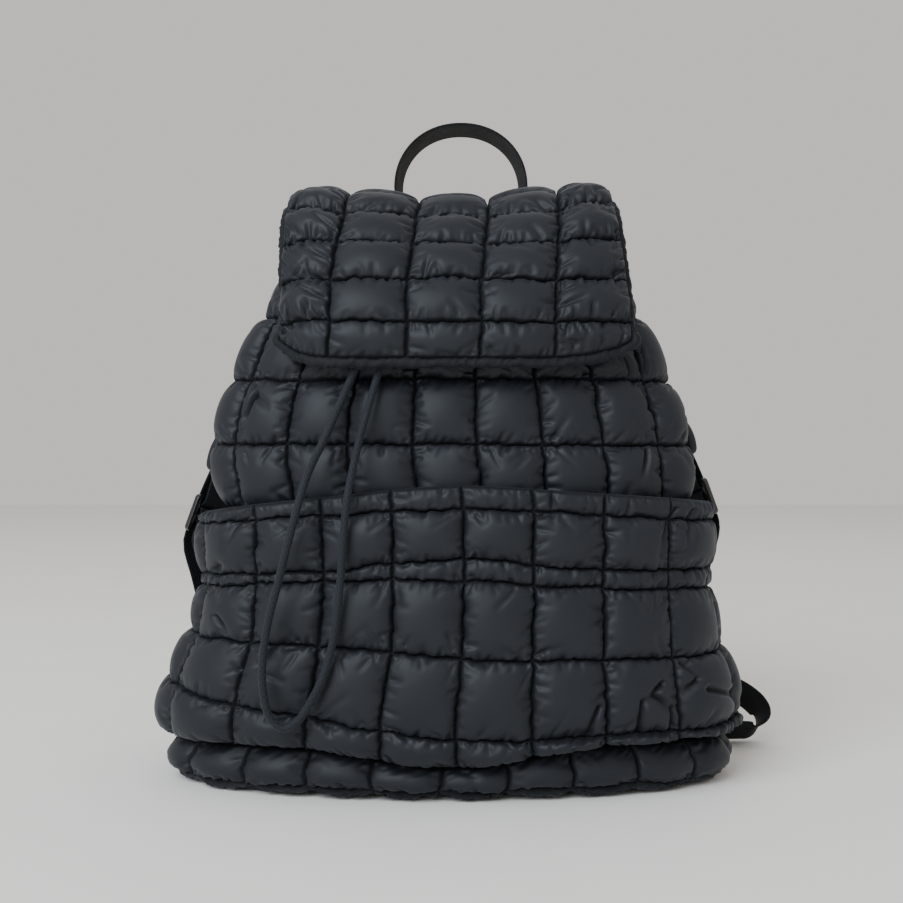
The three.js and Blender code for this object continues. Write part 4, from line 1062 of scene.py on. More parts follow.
def material_base(name, colour, roughness):
    material = bpy.data.materials.new(name)
    material.use_nodes = True
    tree = material.node_tree
    shader = tree.nodes["Principled BSDF"]
    shader.inputs["Base Color"].default_value = (*colour, 1)
    shader.inputs["Roughness"].default_value = roughness
    return material, tree, shader


def noise(tree, coordinates_socket, scale, detail=3.0, roughness=0.55, distortion=0.0):
    node = tree.nodes.new("ShaderNodeTexNoise")
    tree.links.new(coordinates_socket, node.inputs["Vector"])
    node.inputs["Scale"].default_value = scale
    node.inputs["Detail"].default_value = detail
    node.inputs["Roughness"].default_value = roughness
    node.inputs["Distortion"].default_value = distortion
    return node.outputs["Fac"]


def mix_colour(tree, share, low, high):
    node = tree.nodes.new("ShaderNodeMix")
    node.data_type = "RGBA"
    if isinstance(share, (int, float)):
        node.inputs["Factor"].default_value = share
    else:
        tree.links.new(share, node.inputs["Factor"])
    for socket, value in ((node.inputs[6], low), (node.inputs[7], high)):
        if isinstance(value, tuple):
            socket.default_value = (*value, 1)
        else:
            tree.links.new(value, socket)
    return node.outputs[2]


def scaled(colour, share):
    return tuple(channel * share for channel in colour)


def bump(tree, shader, height, strength, distance):
    node = tree.nodes.new("ShaderNodeBump")
    node.inputs["Strength"].default_value = strength
    node.inputs["Distance"].default_value = distance
    tree.links.new(height, node.inputs["Height"])
    tree.links.new(node.outputs["Normal"], shader.inputs["Normal"])


def nylon():
    """Satin puffer nylon with painted shade in its stitch lines and folds, with crinkles, a fine weave and
    thread.
    """
    if "puffer nylon" in bpy.data.materials:
        return bpy.data.materials["puffer nylon"]
    colour = tuple(settings().nylon_colour)
    material, tree, shader = material_base("puffer nylon", colour, 0.55)
    shader.inputs["Specular IOR Level"].default_value = 0.24
    shader.inputs["Sheen Weight"].default_value = 0.05
    shader.inputs["Sheen Roughness"].default_value = 0.4
    shader.inputs["Sheen Tint"].default_value = (0.62, 0.74, 1.0, 1)
    place = tree.nodes.new("ShaderNodeTexCoord").outputs["Object"]
    cloth = tree.nodes.new("ShaderNodeUVMap")
    cloth.uv_map = "cloth"
    split = tree.nodes.new("ShaderNodeSeparateXYZ")
    tree.links.new(cloth.outputs["UV"], split.inputs[0])
    distances = []
    for name in ("row_line", "column_line"):
        mark = tree.nodes.new("ShaderNodeAttribute")
        mark.attribute_name = name
        distances.append(mark.outputs["Fac"])
    nearest = math_node(tree, "MINIMUM", *distances)
    # painted shade mask: 1 on a stitch line or pressed fold, 0 from 2.3 mm away; it stands in for the shadow in
    # the groove
    fold = math_node(tree, "SUBTRACT", 1.0, math_node(tree, "DIVIDE", nearest, 2.3), clamp=True)
    thread = []
    for distance, along in ((distances[0], split.outputs[0]), (distances[1], split.outputs[1])):
        node = tree.nodes.new("ShaderNodeGroup")
        node.node_tree = stitches_group()
        tree.links.new(distance, node.inputs["Distance"])
        tree.links.new(along, node.inputs["Along"])
        thread.append(node.outputs["Mask"])
    thread = math_node(tree, "MAXIMUM", *thread)
    patches = noise(tree, place, 22, 4)
    body = mix_colour(tree, patches, scaled(colour, 0.82), scaled(colour, 1.2))
    # painted shade: the colour drops to 6% in the stitch lines and folds
    body = mix_colour(tree, fold, body, scaled(colour, 0.06))
    body = mix_colour(tree, thread, body, scaled(colour, 0.9))
    tree.links.new(body, shader.inputs["Base Color"])
    gloss = math_node(tree, "MULTIPLY_ADD", noise(tree, place, 60, 3), 0.16, 0.44)
    gloss = math_node(tree, "MULTIPLY_ADD", fold, 0.45, gloss, clamp=True)
    tree.links.new(gloss, shader.inputs["Roughness"])
    weave = tree.nodes.new("ShaderNodeGroup")
    weave.node_tree = weave_group()
    tree.links.new(cloth.outputs["UV"], weave.inputs["Cloth"])
    crinkle = noise(tree, place, 60, 4, 0.5, 0.6)
    fine = noise(tree, place, 240, 3, 0.6)
    height = math_node(tree, "MULTIPLY_ADD", fine, 0.22, math_node(tree, "MULTIPLY", crinkle, 1.0))
    height = math_node(tree, "MULTIPLY_ADD", weave.outputs["Height"], 0.02, height)
    height = math_node(tree, "MULTIPLY_ADD", thread, 0.25, height)
    bump(tree, shader, height, 0.16, 0.0012)
    return material


def webbing():
    """Black woven webbing: ribs along the strap crossed by a fine pick."""
    if "woven webbing" in bpy.data.materials:
        return bpy.data.materials["woven webbing"]
    colour = tuple(settings().webbing_colour)
    material, tree, shader = material_base("woven webbing", colour, 0.72)
    shader.inputs["Specular IOR Level"].default_value = 0.2
    cloth = tree.nodes.new("ShaderNodeUVMap")
    cloth.uv_map = "cloth"
    place = tree.nodes.new("ShaderNodeTexCoord").outputs["Object"]
    ribs = tree.nodes.new("ShaderNodeGroup")
    ribs.node_tree = weave_group()
    ribs.inputs["Across"].default_value = 0.0011
    ribs.inputs["Along"].default_value = 0.0016
    tree.links.new(cloth.outputs["UV"], ribs.inputs["Cloth"])
    patches = noise(tree, place, 90, 3)
    body = mix_colour(tree, ribs.outputs["Height"], scaled(colour, 0.55), scaled(colour, 1.35))
    body = mix_colour(tree, math_node(tree, "MULTIPLY", patches, 0.5), body, scaled(colour, 0.7))
    tree.links.new(body, shader.inputs["Base Color"])
    tree.links.new(math_node(tree, "MULTIPLY_ADD", patches, 0.25, 0.58), shader.inputs["Roughness"])
    height = math_node(tree, "MULTIPLY_ADD", patches, 0.3, ribs.outputs["Height"])
    bump(tree, shader, height, 0.6, 0.0004)
    return material


def braid():
    """A braided cord: strands that cross on the cord's own coordinates."""
    if "braided cord" in bpy.data.materials:
        return bpy.data.materials["braided cord"]
    colour = tuple(settings().cord_colour)
    material, tree, shader = material_base("braided cord", colour, 0.7)
    shader.inputs["Specular IOR Level"].default_value = 0.2
    shader.inputs["Sheen Weight"].default_value = 0.06
    cloth = tree.nodes.new("ShaderNodeUVMap")
    cloth.uv_map = "cloth"
    split = tree.nodes.new("ShaderNodeSeparateXYZ")
    tree.links.new(cloth.outputs["UV"], split.inputs[0])
    strands = []
    for lean in (1.0, -1.0):
        twist = math_node(tree, "MULTIPLY_ADD", split.outputs[0], lean * 1600 * 1.25, 0.0)
        twist = math_node(tree, "MULTIPLY_ADD", split.outputs[1], 1500.0, twist)
        strands.append(math_node(tree, "SINE", twist))
    over = math_node(tree, "MAXIMUM", *strands)
    height = math_node(tree, "MULTIPLY_ADD", over, 0.5, 0.5)
    place = tree.nodes.new("ShaderNodeTexCoord").outputs["Object"]
    fuzz = noise(tree, place, 700, 2)
    body = mix_colour(tree, height, scaled(colour, 0.7), scaled(colour, 1.12))
    tree.links.new(body, shader.inputs["Base Color"])
    tree.links.new(math_node(tree, "MULTIPLY_ADD", fuzz, 0.2, 0.6), shader.inputs["Roughness"])
    bump(tree, shader, math_node(tree, "MULTIPLY_ADD", fuzz, 0.3, height), 0.4, 0.0003)
    return material


def moulded():
    """Glossy black moulded plastic with a faint mottle."""
    if "moulded plastic" in bpy.data.materials:
        return bpy.data.materials["moulded plastic"]
    colour = tuple(settings().buckle_colour)
    material, tree, shader = material_base("moulded plastic", colour, 0.3)
    shader.inputs["Coat Weight"].default_value = 0.2
    place = tree.nodes.new("ShaderNodeTexCoord").outputs["Object"]
    mottle = noise(tree, place, 350, 3)
    wear = noise(tree, place, 60, 4)
    body = mix_colour(tree, wear, scaled(colour, 0.8), scaled(colour, 1.6))
    tree.links.new(body, shader.inputs["Base Color"])
    tree.links.new(math_node(tree, "MULTIPLY_ADD", wear, 0.2, 0.22), shader.inputs["Roughness"])
    bump(tree, shader, mottle, 0.12, 0.0003)
    return material


def floor_finish():
    """A plain pale floor with a barely visible grain."""
    colour = tuple(settings().floor_colour)
    material, tree, shader = material_base("pale floor", colour, 0.85)
    place = tree.nodes.new("ShaderNodeTexCoord").outputs["Object"]
    body = mix_colour(tree, noise(tree, place, 14, 5), scaled(colour, 0.96), scaled(colour, 1.03))
    tree.links.new(body, shader.inputs["Base Color"])
    return material


# Operators

# name, place and size in metres, power in watts, colour
LAMPS = (
    ("sky left", (-1.3, -2.15, 1.8), 2.0, 112, (0.83, 0.92, 1.0)),
    ("sky right", (1.9, -1.0, 1.7), 1.6, 3, (0.9, 0.95, 1.0)),
    ("sky behind", (0.2, 1.6, 2.2), 2.2, 5, (0.95, 0.97, 1.0)),
)
LAMP_AIM = (0, 0, 0.18)


class BACKPACK_OT_stage(bpy.types.Operator):
    """Sets up the camera, the floor and the soft light"""

    bl_idname = "backpack.stage"
    bl_label = "Camera, floor and light"

    def execute(self, context):
        camera = bpy.data.objects.new("camera", bpy.data.cameras.new("camera"))
        camera.location = (0, -CAMERA_DISTANCE * MM, CAMERA_HEIGHT * MM)
        camera.rotation_euler = (math.radians(90), 0, 0)
        camera.data.lens = SENSOR_WIDTH * FOCAL_LENGTH / PICTURE_WIDTH
        camera.data.sensor_width = SENSOR_WIDTH
        camera.data.clip_start = 0.02
        context.scene.collection.objects.link(camera)
        context.scene.camera = camera
        bm = bmesh.new()
        bmesh.ops.create_grid(bm, x_segments=8, y_segments=8, size=4)
        floor = object_from(bm, "floor")
        floor.data.materials.append(floor_finish())
        for name, place, size, power, colour in LAMPS:
            lamp = bpy.data.objects.new(name, bpy.data.lights.new(name, "AREA"))
            lamp.data.size = size
            lamp.data.energy = power
            lamp.data.color = colour
            lamp.location = place
            lamp.rotation_euler = (Vector(LAMP_AIM) - Vector(place)).to_track_quat("-Z", "Y").to_euler()
            context.scene.collection.objects.link(lamp)
        world = bpy.data.worlds.new("studio")
        world.use_nodes = True
        sky = world.node_tree.nodes["Background"]
        sky.inputs["Color"].default_value = (0.9, 0.87, 0.83, 1)
        sky.inputs["Strength"].default_value = 0.8
        context.scene.world = world
        return {"FINISHED"}


class BACKPACK_OT_drawstring(bpy.types.Operator):
    """Makes the braided drawstring whose loop hangs down the front"""

    bl_idname = "backpack.drawstring"
    bl_label = "Drawstring"

    def execute(self, context):
        radius = settings().cord_thickness / MM / 2
        points = even_points(DRAWSTRING_ROUTE, np.linspace(0, 1, 300))
        cord = tube("braided_drawstring", points, radius, 12)
        finish_piece(cord, braid(), "cord", "drawstring")
        return {"FINISHED"}


class BACKPACK_OT_pocket(bpy.types.Operator):
    """Makes the quilted outer pocket with its waist band and gathered casing"""

    bl_idname = "backpack.pocket"
    bl_label = "Outer pocket"

    def execute(self, context):
        puff = settings().puff / MM
        half_length = round_length(0, SIDE_SEAM_TURN, POCKET_LINES[3][2] * BAG_HEIGHT)
        columns = column_edges(half_length, POCKET_MIDDLE_SHIFT)
        puffs = (puff, puff * 1.06, puff * 1.06, WAIST_PUFF, puff, CASING_PUFF)
        narrow = (3, 5)
        piece = quilted_panel(
            "pocket",
            pocket_surface,
            columns,
            range(len(POCKET_LINES)),
            lambda i, j: puffs[j],
            lambda i, j: "band" if j in narrow else "square",
            lambda j: 14 if j in narrow else SQUARE_STEPS,
            seed=11,
            folds=POCKET_FOLDS,
        )
        finish_piece(piece, nylon(), "nylon", "pocket_panel", fill=0.7)
        return {"FINISHED"}


class BACKPACK_OT_front(bpy.types.Operator):
    """Makes the quilted front and sides of the bag"""

    bl_idname = "backpack.front"
    bl_label = "Front panel"

    def execute(self, context):
        puff = settings().puff / MM
        columns = column_edges(round_length(0, SIDE_SEAM_TURN, BODY_LINES[4] * BAG_HEIGHT), BODY_MIDDLE_SHIFT)
        puffs = (0, 0, 0, MOUTH_PUFF, puff, puff, puff, puff)
        piece = quilted_panel(
            "front",
            front_surface,
            columns,
            range(len(BODY_LINES) + 2),
            lambda i, j: puffs[j],
            lambda i, j: "square",
            lambda j: 6 if j is not None and j < PRESSED_ROWS else SQUARE_STEPS,
            seed=23,
            folds=FRONT_FOLDS,
        )
        finish_piece(piece, nylon(), "nylon", "front_panel", fill=0.7)
        return {"FINISHED"}


class BACKPACK_OT_back(bpy.types.Operator):
    """Makes the quilted back panel"""

    bl_idname = "backpack.back"
    bl_label = "Back panel"

    def execute(self, context):
        columns = column_edges(round_length(math.pi, SIDE_SEAM_TURN, BAG_HEIGHT / 2), 0)
        piece = quilted_panel(
            "back",
            back_surface,
            columns,
            range(len(BODY_LINES) + 2),
            lambda i, j: BACK_PUFF,
            lambda i, j: "square",
            lambda j: PLAIN_STEPS,
            seed=31,
        )
        finish_piece(piece, nylon(), "nylon", "back_panel", fill=0.6)
        return {"FINISHED"}


class BACKPACK_OT_base(bpy.types.Operator):
    """Makes the quilted base that turns up to the seam round the bag"""

    bl_idname = "backpack.base"
    bl_label = "Base"

    def execute(self, context):
        columns = column_edges(round_length(0, math.pi, BACK_SEAM_HEIGHT), BASE_MIDDLE_SHIFT)
        rim = quilted_panel(
            "base_rim",
            base_rim_surface,
            columns,
            range(3),
            lambda i, j: (BASE_PUFF * 0.9, BASE_PUFF)[j],
            lambda i, j: ("band", "square")[j],
            lambda j: 10 if j == 0 else PLAIN_STEPS,
            seed=43,
        )
        ground = quilted_panel(
            "base_floor",
            base_floor_surface,
            BASE_COLUMNS,
            BASE_ROWS,
            lambda i, j: BASE_PUFF,
            lambda i, j: "square",
            lambda j: PLAIN_STEPS,
            seed=47,
            facing=-1,
        )
        for piece in (rim, ground):
            places = coordinates(piece)
            places[:, 2] = np.maximum(places[:, 2], 0)  # pressed flat on the ground
            piece.data.vertices.foreach_set("co", places.ravel())
            finish_piece(piece, nylon(), "nylon", "base_panel", fill=0.7)
        return {"FINISHED"}


class BACKPACK_OT_neck(bpy.types.Operator):
    """Makes the neck that the drawstring draws together into pleats"""

    bl_idname = "backpack.neck"
    bl_label = "Gathered neck"

    def execute(self, context):
        around, levels = NECK_PLEATS * 14, 14
        share = np.arange(around) / around
        height = np.linspace(NECK_START + GAP, BAG_HEIGHT, levels)
        pleat = np.interp(np.linspace(0, 1, levels), (0, 0.45, 0.8, 1), (0, 0.8, 1, 0.7))
        turns = np.linspace(0, 2 * math.pi, 721)
        rings = []
        for z, depth in zip(height, pleat):
            ring = outline(turns, z)
            run = lengths_along(ring)
            turn = np.interp(share * run[-1], run, turns)
            point = outline(turn, z)
            tangent = unit(np.roll(point, -1, axis=0) - np.roll(point, 1, axis=0))
            out = np.stack([tangent[:, 1], -tangent[:, 0], np.zeros(around)], axis=-1)
            wave = np.cos(2 * math.pi * share * NECK_PLEATS + 0.9 * ripple(5, share * 60, 1))
            fold = (np.sign(wave) * np.abs(wave) ** 0.7 - 1) * depth * NECK_PLEAT_DEPTH
            rings.append((point + out * fold[:, None], point + out * (fold - CLOTH)[:, None]))
        loops = [outer for outer, _ in rings] + [inner for _, inner in reversed(rings)]
        piece = wrapped_grid("neck", around, len(loops), capped=False)
        column, row = tube_places(piece, around, len(loops))
        places = np.array(loops + loops[:1])[row, column]
        uv = np.stack([share[column] * 400, row * 1.6], axis=-1)
        finish_mesh(piece, places, uv)
        bm = bmesh.new()
        bm.from_mesh(piece.data)
        bmesh.ops.remove_doubles(bm, verts=bm.verts, dist=1e-6)
        bmesh.ops.recalc_face_normals(bm, faces=bm.faces)
        bm.to_mesh(piece.data)
        bm.free()
        mark_plain(piece)
        finish_piece(piece, nylon(), "nylon", "neck_gather", fill=0.2)
        return {"FINISHED"}


class BACKPACK_OT_flap(bpy.types.Operator):
    """Makes the quilted flap over the neck"""

    bl_idname = "backpack.flap"
    bl_label = "Flap"

    def execute(self, context):
        puff = settings().puff / MM
        pitch = (FLAP_LENGTH - FLAP_BORDER) / (FLAP_ROWS - 1)
        rows = [0, FLAP_BORDER] + [FLAP_BORDER + pitch * i for i in range(1, FLAP_ROWS)]
        outer = (0, len(FLAP_COLUMNS[0]) - 2)

        def puff_at(i, j):
            if j == 0:
                return FLAP_BORDER_PUFF
            if j == FLAP_ROWS - 1:
                return FLAP_ROOT_PUFF
            return puff * FLAP_SIDE_FULLNESS if i in outer else puff

        piece = quilted_panel(
            "quilted_flap",
            flap_trimmed,
            tuple(FLAP_COLUMNS[0]),
            rows,
            puff_at,
            lambda i, j: "ruched" if i in outer and j > 0 else "square",
            lambda j: 20 if j == 0 else SQUARE_STEPS,
            seed=57,
            gather_at=lambda i, j: 1.5 if i in outer else 1.1,
        )
        finish_piece(piece, nylon(), "nylon", "flap", fill=0.7)
        return {"FINISHED"}


class BACKPACK_OT_piping(bpy.types.Operator):
    """Makes the bound edge along the flap's sides and front"""

    bl_idname = "backpack.piping"
    bl_label = "Flap piping"

    def execute(self, context):
        side_steps, front_steps, side_end, tucked_out = 14, 26, 0.9, 0.35
        sides = side_end * FLAP_LENGTH * np.arange(1, side_steps + 1) / side_steps + FLAP_CORNER
        sides = sides[sides < side_end * FLAP_LENGTH]
        front = -np.cos(math.pi * np.arange(front_steps + 1) / front_steps)
        across = np.concatenate([np.full(len(sides), -1.0), front, np.full(len(sides), 1.0)])
        along = np.concatenate([sides[::-1], flap_edge(front), sides])
        tuck = smoothstep(along, FLAP_CORNER, 3 * FLAP_CORNER)
        step = 1e-3
        sideways = flap_surface(across + step, along) - flap_surface(across - step, along)
        upwards = flap_surface(across, along + 1) - flap_surface(across, np.maximum(along - 1, 0))
        normal = unit(np.cross(sideways, upwards))
        edge = flap_surface(across, along) - normal * (CLOTH * lerp(0.5, 1.35, tuck))[:, None]
        before, after = np.vstack([edge[:1], edge[:-1]]), np.vstack([edge[1:], edge[-1:]])
        outward = unit(np.cross(after - before, normal))
        away = outward * lerp(1, tucked_out, tuck)[:, None]
        away = unit(away - normal * (tuck * math.sqrt(1 - tucked_out**2))[:, None])
        points = even_points(edge + away * PIPING_RADIUS * 0.85, np.linspace(0, 1, 700))

        def ruched(reach, turn, run):
            wrap = ripple(71, run + turn * 1.1, 1.9) * 0.55 + ripple(72, run + turn * 2.0, 6.0) * 0.45
            return reach + wrap

        piece = tube("piping", points, PIPING_RADIUS, 16, ruched)
        mark_plain(piece, row_line=1.15)  # painted shade over the whole binding, half as dark as in a seam
        finish_piece(piece, nylon(), "nylon", "flap_piping")
        return {"FINISHED"}


class BACKPACK_OT_handle(bpy.types.Operator):
    """Makes the webbing carrying loop behind the flap"""

    bl_idname = "backpack.handle"
    bl_label = "Top handle"

    def execute(self, context):
        foot = NECK_START + 7
        out = float(section(NECK_START)[3]) + CLOTH + GAP + FLAP_ROOT_PUFF + GAP + WEBBING_THICKNESS
        arch = HANDLE_RISE - HANDLE_LEG
        points, normals = [], []
        legs = {-1: ([], []), 1: ([], [])}
        for side in (-1, 1):
            for share in (0, 0.45, 0.8):
                turn = float(smoothstep(share, 0.1, 0.8))
                x = HANDLE_SHIFT + side * HANDLE_HALF_SPAN
                legs[side][0].append((x, out + turn * HANDLE_LEAN, foot + share * HANDLE_LEG))
                legs[side][1].append((side * turn, 1.02 - (1.02 - HANDLE_TWIST) * turn, 0))
        points += legs[-1][0]
        normals += legs[-1][1]
        for k in range(25):
            turn = math.pi * k / 24
            sideways = -math.copysign(abs(math.cos(turn)) ** (2 / HANDLE_ROUNDNESS), math.cos(turn))
            up = max(math.sin(turn), 0) ** (2 / HANDLE_ROUNDNESS)
            points.append(
                (HANDLE_SHIFT + HANDLE_HALF_SPAN * sideways, out + HANDLE_LEAN, foot + HANDLE_LEG + arch * up)
            )
            normals.append((-math.cos(turn), HANDLE_TILT * up + HANDLE_TWIST * (1 - up), math.sin(turn)))
        points += legs[1][0][::-1]
        normals += legs[1][1][::-1]
        piece = ribbon("handle", points, unit(np.array(normals)), 1.6, 28)
        finish_piece(piece, webbing(), "webbing", "top_handle")
        return {"FINISHED"}


def lock_frame(side):
    centre = np.array(
        (side * LOCK_PLACE["across"] * HALF_WIDTH, LOCK_PLACE["out"] * BACK_DEPTH, LOCK_PLACE[side] * BAG_HEIGHT)
    )
    down = unit(np.array(LOCK_DOWN))
    out = np.array(LOCK_OUT)
    out = unit(out - down * np.dot(out, down))
    mirror = np.array((side, 1, 1))
    down, out = down * mirror, out * mirror
    return centre, down, out, np.cross(down, out)


def in_frame(place, along, away):
    centre, down, out, _ = place
    return centre + down * along + out * away


WRAP_RADIUS = math.hypot(LOCK_BAR, LOCK_THICKNESS) / 2 + GAP + WEBBING_THICKNESS / 2
BAR_PITCH = LOCK_BAR + LOCK_SLOT
WRAP_SLACK = (BAR_PITCH - WEBBING_THICKNESS) / 2 - WRAP_RADIUS + 0.15  # both webbings fill the slot
STRAP_END = -BAR_PITCH - WRAP_RADIUS - 16


def wrap_stations(place, along, turn_down):
    points, normals = [], []
    for i in range(9):
        angle = math.pi * i / 8
        away = math.cos(angle) * WRAP_RADIUS
        beyond = (1 if turn_down else -1) * math.sin(angle) * (WRAP_RADIUS + WRAP_SLACK)
        point = in_frame(place, along + beyond, away)
        points.append(point)
        normals.append(unit(point - in_frame(place, along, 0)))
    return points, normals


def back_face(x, height):
    wide, _, _, back = section(height)
    share = min(abs(x) / float(wide), 0.85)
    return float(back) * (1 - share**BACK_ROUNDNESS) ** (1 / BACK_ROUNDNESS)


SIDES = {"left": -1, "right": 1}


class BACKPACK_OT_straps(bpy.types.Operator):
    """Makes the two padded shoulder straps"""

    bl_idname = "backpack.straps"
    bl_label = "Shoulder straps"

    def execute(self, context):
        for name, side in SIDES.items():
            place = lock_frame(side)
            anchors, wides = [], []
            for across, up, away, wide in STRAP_ROUTE:
                x, height = across * HALF_WIDTH, up * BAG_HEIGHT
                y = back_face(x, height) + BACK_PUFF + GAP + STRAP_THICKNESS / 2 + away * STRAP_BOW
                anchors.append((side * x, y, height))
                wides.append(wide)
            for before, wide in ((14, 0.66), (0, 0.6)):
                anchors.append(in_frame(place, STRAP_END - before, 0))
                wides.append(wide)
            t = np.linspace(0, 1, 150)
            points = curve_points(anchors, t)
            wide = smooth(np.arange(len(wides)), wides, t * (len(wides) - 1)) * STRAP_WIDTH
            turn = smoothstep(t, 0.35, 1)[:, None]
            normals = unit(lerp(np.array([0, 1, 0.15]), place[2][None, :], turn))

            def padded(a, b, run, seed=side + 5):
                share = np.abs(a) / (np.abs(a).max(axis=1, keepdims=True) + 1e-9)
                edge = smoothstep(share, 0.72, 0.8) * (1 - smoothstep(share, 0.8, 0.88))
                left = np.clip(np.minimum(run, run.max() - run) / 6, 0, 1)
                end = 0.3 + 0.7 * np.sqrt(1 - (1 - left) ** 2)
                a, b = a * (0.7 + 0.3 * end), b * end
                crinkle = ripple(seed, run + a * 0.4, 5.0) * 0.35 + ripple(seed + 9, run - a * 0.7, 11.0) * 0.5
                return a, b * (1 - 0.35 * edge) + np.sign(b) * crinkle * (1 - share**4) * 0.6

            piece = sweep(
                f"padded_strap_{name}", points, normals, wide, STRAP_THICKNESS, ring_profile(56, 3.6), padded
            )
            mark_plain(piece)
            finish_piece(piece, nylon(), "nylon", f"shoulder_strap_{name}", fill=0.6)
        return {"FINISHED"}


class BACKPACK_OT_loops(bpy.types.Operator):
    """Makes the webbing loops that hold the buckles to the straps"""

    bl_idname = "backpack.loops"
    bl_label = "Buckle loops"

    def execute(self, context):
        for name, side in SIDES.items():
            place = lock_frame(side)
            reach = STRAP_END - 7  # tucked into the strap's end, where it is sewn
            wrap, wrap_normals = wrap_stations(place, -BAR_PITCH, True)
            ends = ((reach, WRAP_RADIUS * 0.3), (reach + 16, WRAP_RADIUS * 0.8))
            points = [in_frame(place, along, away) for along, away in ends]
            points += wrap
            points += [in_frame(place, along, -away) for along, away in reversed(ends)]
            out = place[2]
            normals = [out, out, *wrap_normals, -out, -out]
            piece = ribbon(f"buckle_loop_{name}", points, normals, 1.0, 24)
            finish_piece(piece, webbing(), "webbing", f"strap_loop_{name}")
        return {"FINISHED"}


class BACKPACK_OT_locks(bpy.types.Operator):
    """Makes the moulded ladder locks"""

    bl_idname = "backpack.locks"
    bl_label = "Ladder locks"

    def execute(self, context):
        half, slot = LOCK_WIDTH / 2, settings().webbing_width / MM / 2 + 1.2
        tall = BAR_PITCH + LOCK_BAR / 2
        columns = (-half, -slot, slot, half)
        rows = [-tall]
        for middle in (-BAR_PITCH / 2, BAR_PITCH / 2):
            rows += [middle - LOCK_SLOT / 2, middle + LOCK_SLOT / 2]
        rows.append(tall)
        for name, side in SIDES.items():
            centre, down, out, _ = lock_frame(side)
            bm = bmesh.new()
            bmesh.ops.create_grid(bm, x_segments=3, y_segments=5, size=1)
            slots = []
            for face in bm.faces:
                middle = face.calc_center_median()
                column, row = round((middle.x + 1) * 1.5 - 0.5), round((middle.y + 1) * 2.5 - 0.5)
                if column == 1 and row in (1, 3):
                    slots.append(face)
            for vertex in bm.verts:
                column, row = round((vertex.co.x + 1) * 1.5), round((vertex.co.y + 1) * 2.5)
                vertex.co = Vector((columns[column], rows[row], -LOCK_THICKNESS / 2))
            bmesh.ops.delete(bm, geom=slots, context="FACES")
            raised = bmesh.ops.extrude_face_region(bm, geom=bm.faces[:])
            moved = [part for part in raised["geom"] if isinstance(part, bmesh.types.BMVert)]
            bmesh.ops.translate(bm, verts=moved, vec=(0, 0, LOCK_THICKNESS))
            corners = [
                edge for edge in bm.edges
                if all(abs(abs(v.co.x) - half) < 0.01 and abs(abs(v.co.y) - tall) < 0.01 for v in edge.verts)
                and abs(edge.verts[0].co.z - edge.verts[1].co.z) > 1
            ]
            bmesh.ops.bevel(
                bm, geom=corners, offset=3, segments=4, profile=0.5, affect="EDGES", material=-1
            )
            bmesh.ops.recalc_face_normals(bm, faces=bm.faces)
            rims = [edge for edge in bm.edges if len(edge.link_faces) == 2 and edge.calc_face_angle() > 0.7]
            bmesh.ops.bevel(bm, geom=rims, offset=0.7, segments=3, profile=0.5, affect="EDGES", material=-1)
            upright = -down
            wide = np.cross(upright, out)
            turned = Matrix((
                (wide[0], upright[0], out[0], centre[0]),
                (wide[1], upright[1], out[1], centre[1]),
                (wide[2], upright[2], out[2], centre[2]),
                (0, 0, 0, 1),
            ))
            bmesh.ops.transform(bm, matrix=Matrix.Scale(MM, 4) @ turned, verts=bm.verts)
            if turned.determinant() < 0:
                bmesh.ops.reverse_faces(bm, faces=bm.faces)
            piece = object_from(bm, f"ladder_lock_{name}_moulded")
            piece.data.polygons.foreach_set("use_smooth", np.ones(len(piece.data.polygons), bool))
            finish_piece(piece, moulded(), "plastic", f"ladder_lock_{name}")
        return {"FINISHED"}


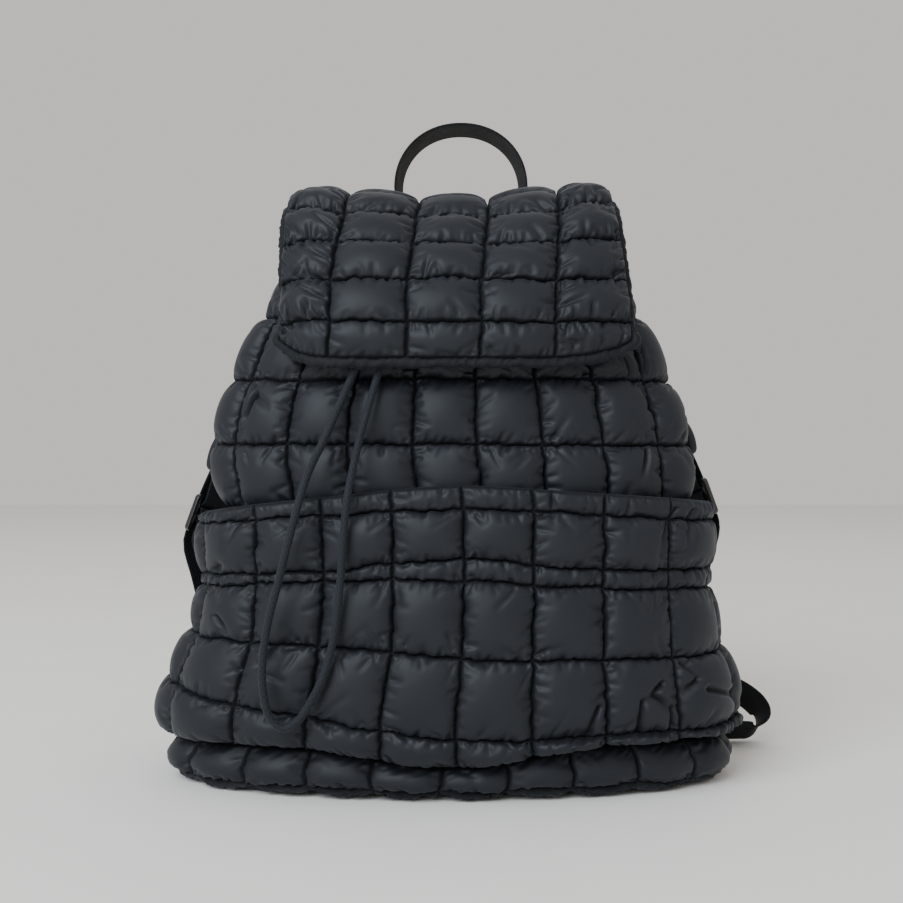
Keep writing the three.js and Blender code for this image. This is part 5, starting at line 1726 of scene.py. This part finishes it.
class BACKPACK_OT_webbing(bpy.types.Operator):
    """Makes the lower webbing: a tail, a turn over the buckle and the run to the bag's corner"""

    bl_idname = "backpack.webbing"
    bl_label = "Lower webbing"

    def execute(self, context):
        width = settings().webbing_width / MM
        for name, side in SIDES.items():
            place = lock_frame(side)
            out, wide = place[2], place[3]
            below = in_frame(place, WEBBING_BEND, WRAP_RADIUS)
            swing = np.array((-side * TAIL_SWING[0], TAIL_SWING[1], -TAIL_LENGTH))
            points, normals = [], []
            for share in (1, 0.66, 0.33, 0):
                points.append(below + swing * share)
                normals.append(out)
            points.append(in_frame(place, WEBBING_LEAD, WRAP_RADIUS))
            normals.append(out)
            wrap, wrap_normals = wrap_stations(place, 0, False)
            points += wrap
            normals += wrap_normals
            anchors = [
                in_frame(place, WEBBING_LEAD, -WRAP_RADIUS),
                in_frame(place, WEBBING_BEND, -WRAP_RADIUS * 1.2),
            ]
            route = SLACK_WEBBING if side > 0 else STRAIGHT_WEBBING
            for across, away, up in route:
                anchors.append(np.array((side * across * HALF_WIDTH, away * BACK_DEPTH, up * BAG_HEIGHT)))
            shares = np.linspace(0, 1, 40)
            run = even_points(anchors, shares)
            along = unit(np.gradient(run, axis=0))
            across_run = lerp(wide, EDGE_ON * side, smoothstep(shares, 0, 0.35)[:, None])
            if side > 0:  # the slack webbing twists and shows its face to the front
                turned = smoothstep(shares, 0.3, 0.5) * (1 - smoothstep(shares, 0.72, 0.95))
                across_run = lerp(across_run, TWISTED, turned[:, None])
            lowest = np.abs(unit(across_run)[:, 2]) * width / 2 + WEBBING_THICKNESS
            run[:, 2] = np.maximum(run[:, 2], lowest)  # the edge of the twisted webbing stays off the floor
            points += list(run)
            normals += list(-unit(np.cross(along, across_run)))
            piece = ribbon(f"webbing_{name}", points, normals, 1.6, 28)
            finish_piece(piece, webbing(), "webbing", f"lower_webbing_{name}")
        return {"FINISHED"}


class BACKPACK_PT_pieces(bpy.types.Panel):
    """The backpack's pieces and settings"""

    bl_idname = "BACKPACK_PT_pieces"
    bl_label = "Backpack"
    bl_space_type = "VIEW_3D"
    bl_region_type = "UI"
    bl_category = "Backpack"

    def draw(self, context):
        for name in BackpackSettings.__annotations__:
            self.layout.prop(context.scene.backpack, name)
        for maker in MAKERS:
            self.layout.operator(maker.bl_idname)


MAKERS = (
    BACKPACK_OT_stage,
    BACKPACK_OT_drawstring,
    BACKPACK_OT_pocket,
    BACKPACK_OT_front,
    BACKPACK_OT_back,
    BACKPACK_OT_base,
    BACKPACK_OT_neck,
    BACKPACK_OT_flap,
    BACKPACK_OT_piping,
    BACKPACK_OT_handle,
    BACKPACK_OT_straps,
    BACKPACK_OT_loops,
    BACKPACK_OT_locks,
    BACKPACK_OT_webbing,
)


def register():
    for part in (BackpackSettings, *MAKERS, BACKPACK_PT_pieces):
        bpy.utils.register_class(part)
    bpy.types.Scene.backpack = PointerProperty(type=BackpackSettings)


def unregister():
    del bpy.types.Scene.backpack
    for part in (BACKPACK_PT_pieces, *reversed(MAKERS), BackpackSettings):
        bpy.utils.unregister_class(part)


def main():
    register()
    bpy.ops.backpack.stage()
    bpy.ops.backpack.drawstring()
    bpy.ops.backpack.pocket()
    bpy.ops.backpack.front()
    bpy.ops.backpack.back()
    bpy.ops.backpack.base()
    bpy.ops.backpack.neck()
    bpy.ops.backpack.flap()
    bpy.ops.backpack.piping()
    bpy.ops.backpack.handle()
    bpy.ops.backpack.straps()
    bpy.ops.backpack.loops()
    bpy.ops.backpack.locks()
    bpy.ops.backpack.webbing()


if __name__ == "__main__":
    main()
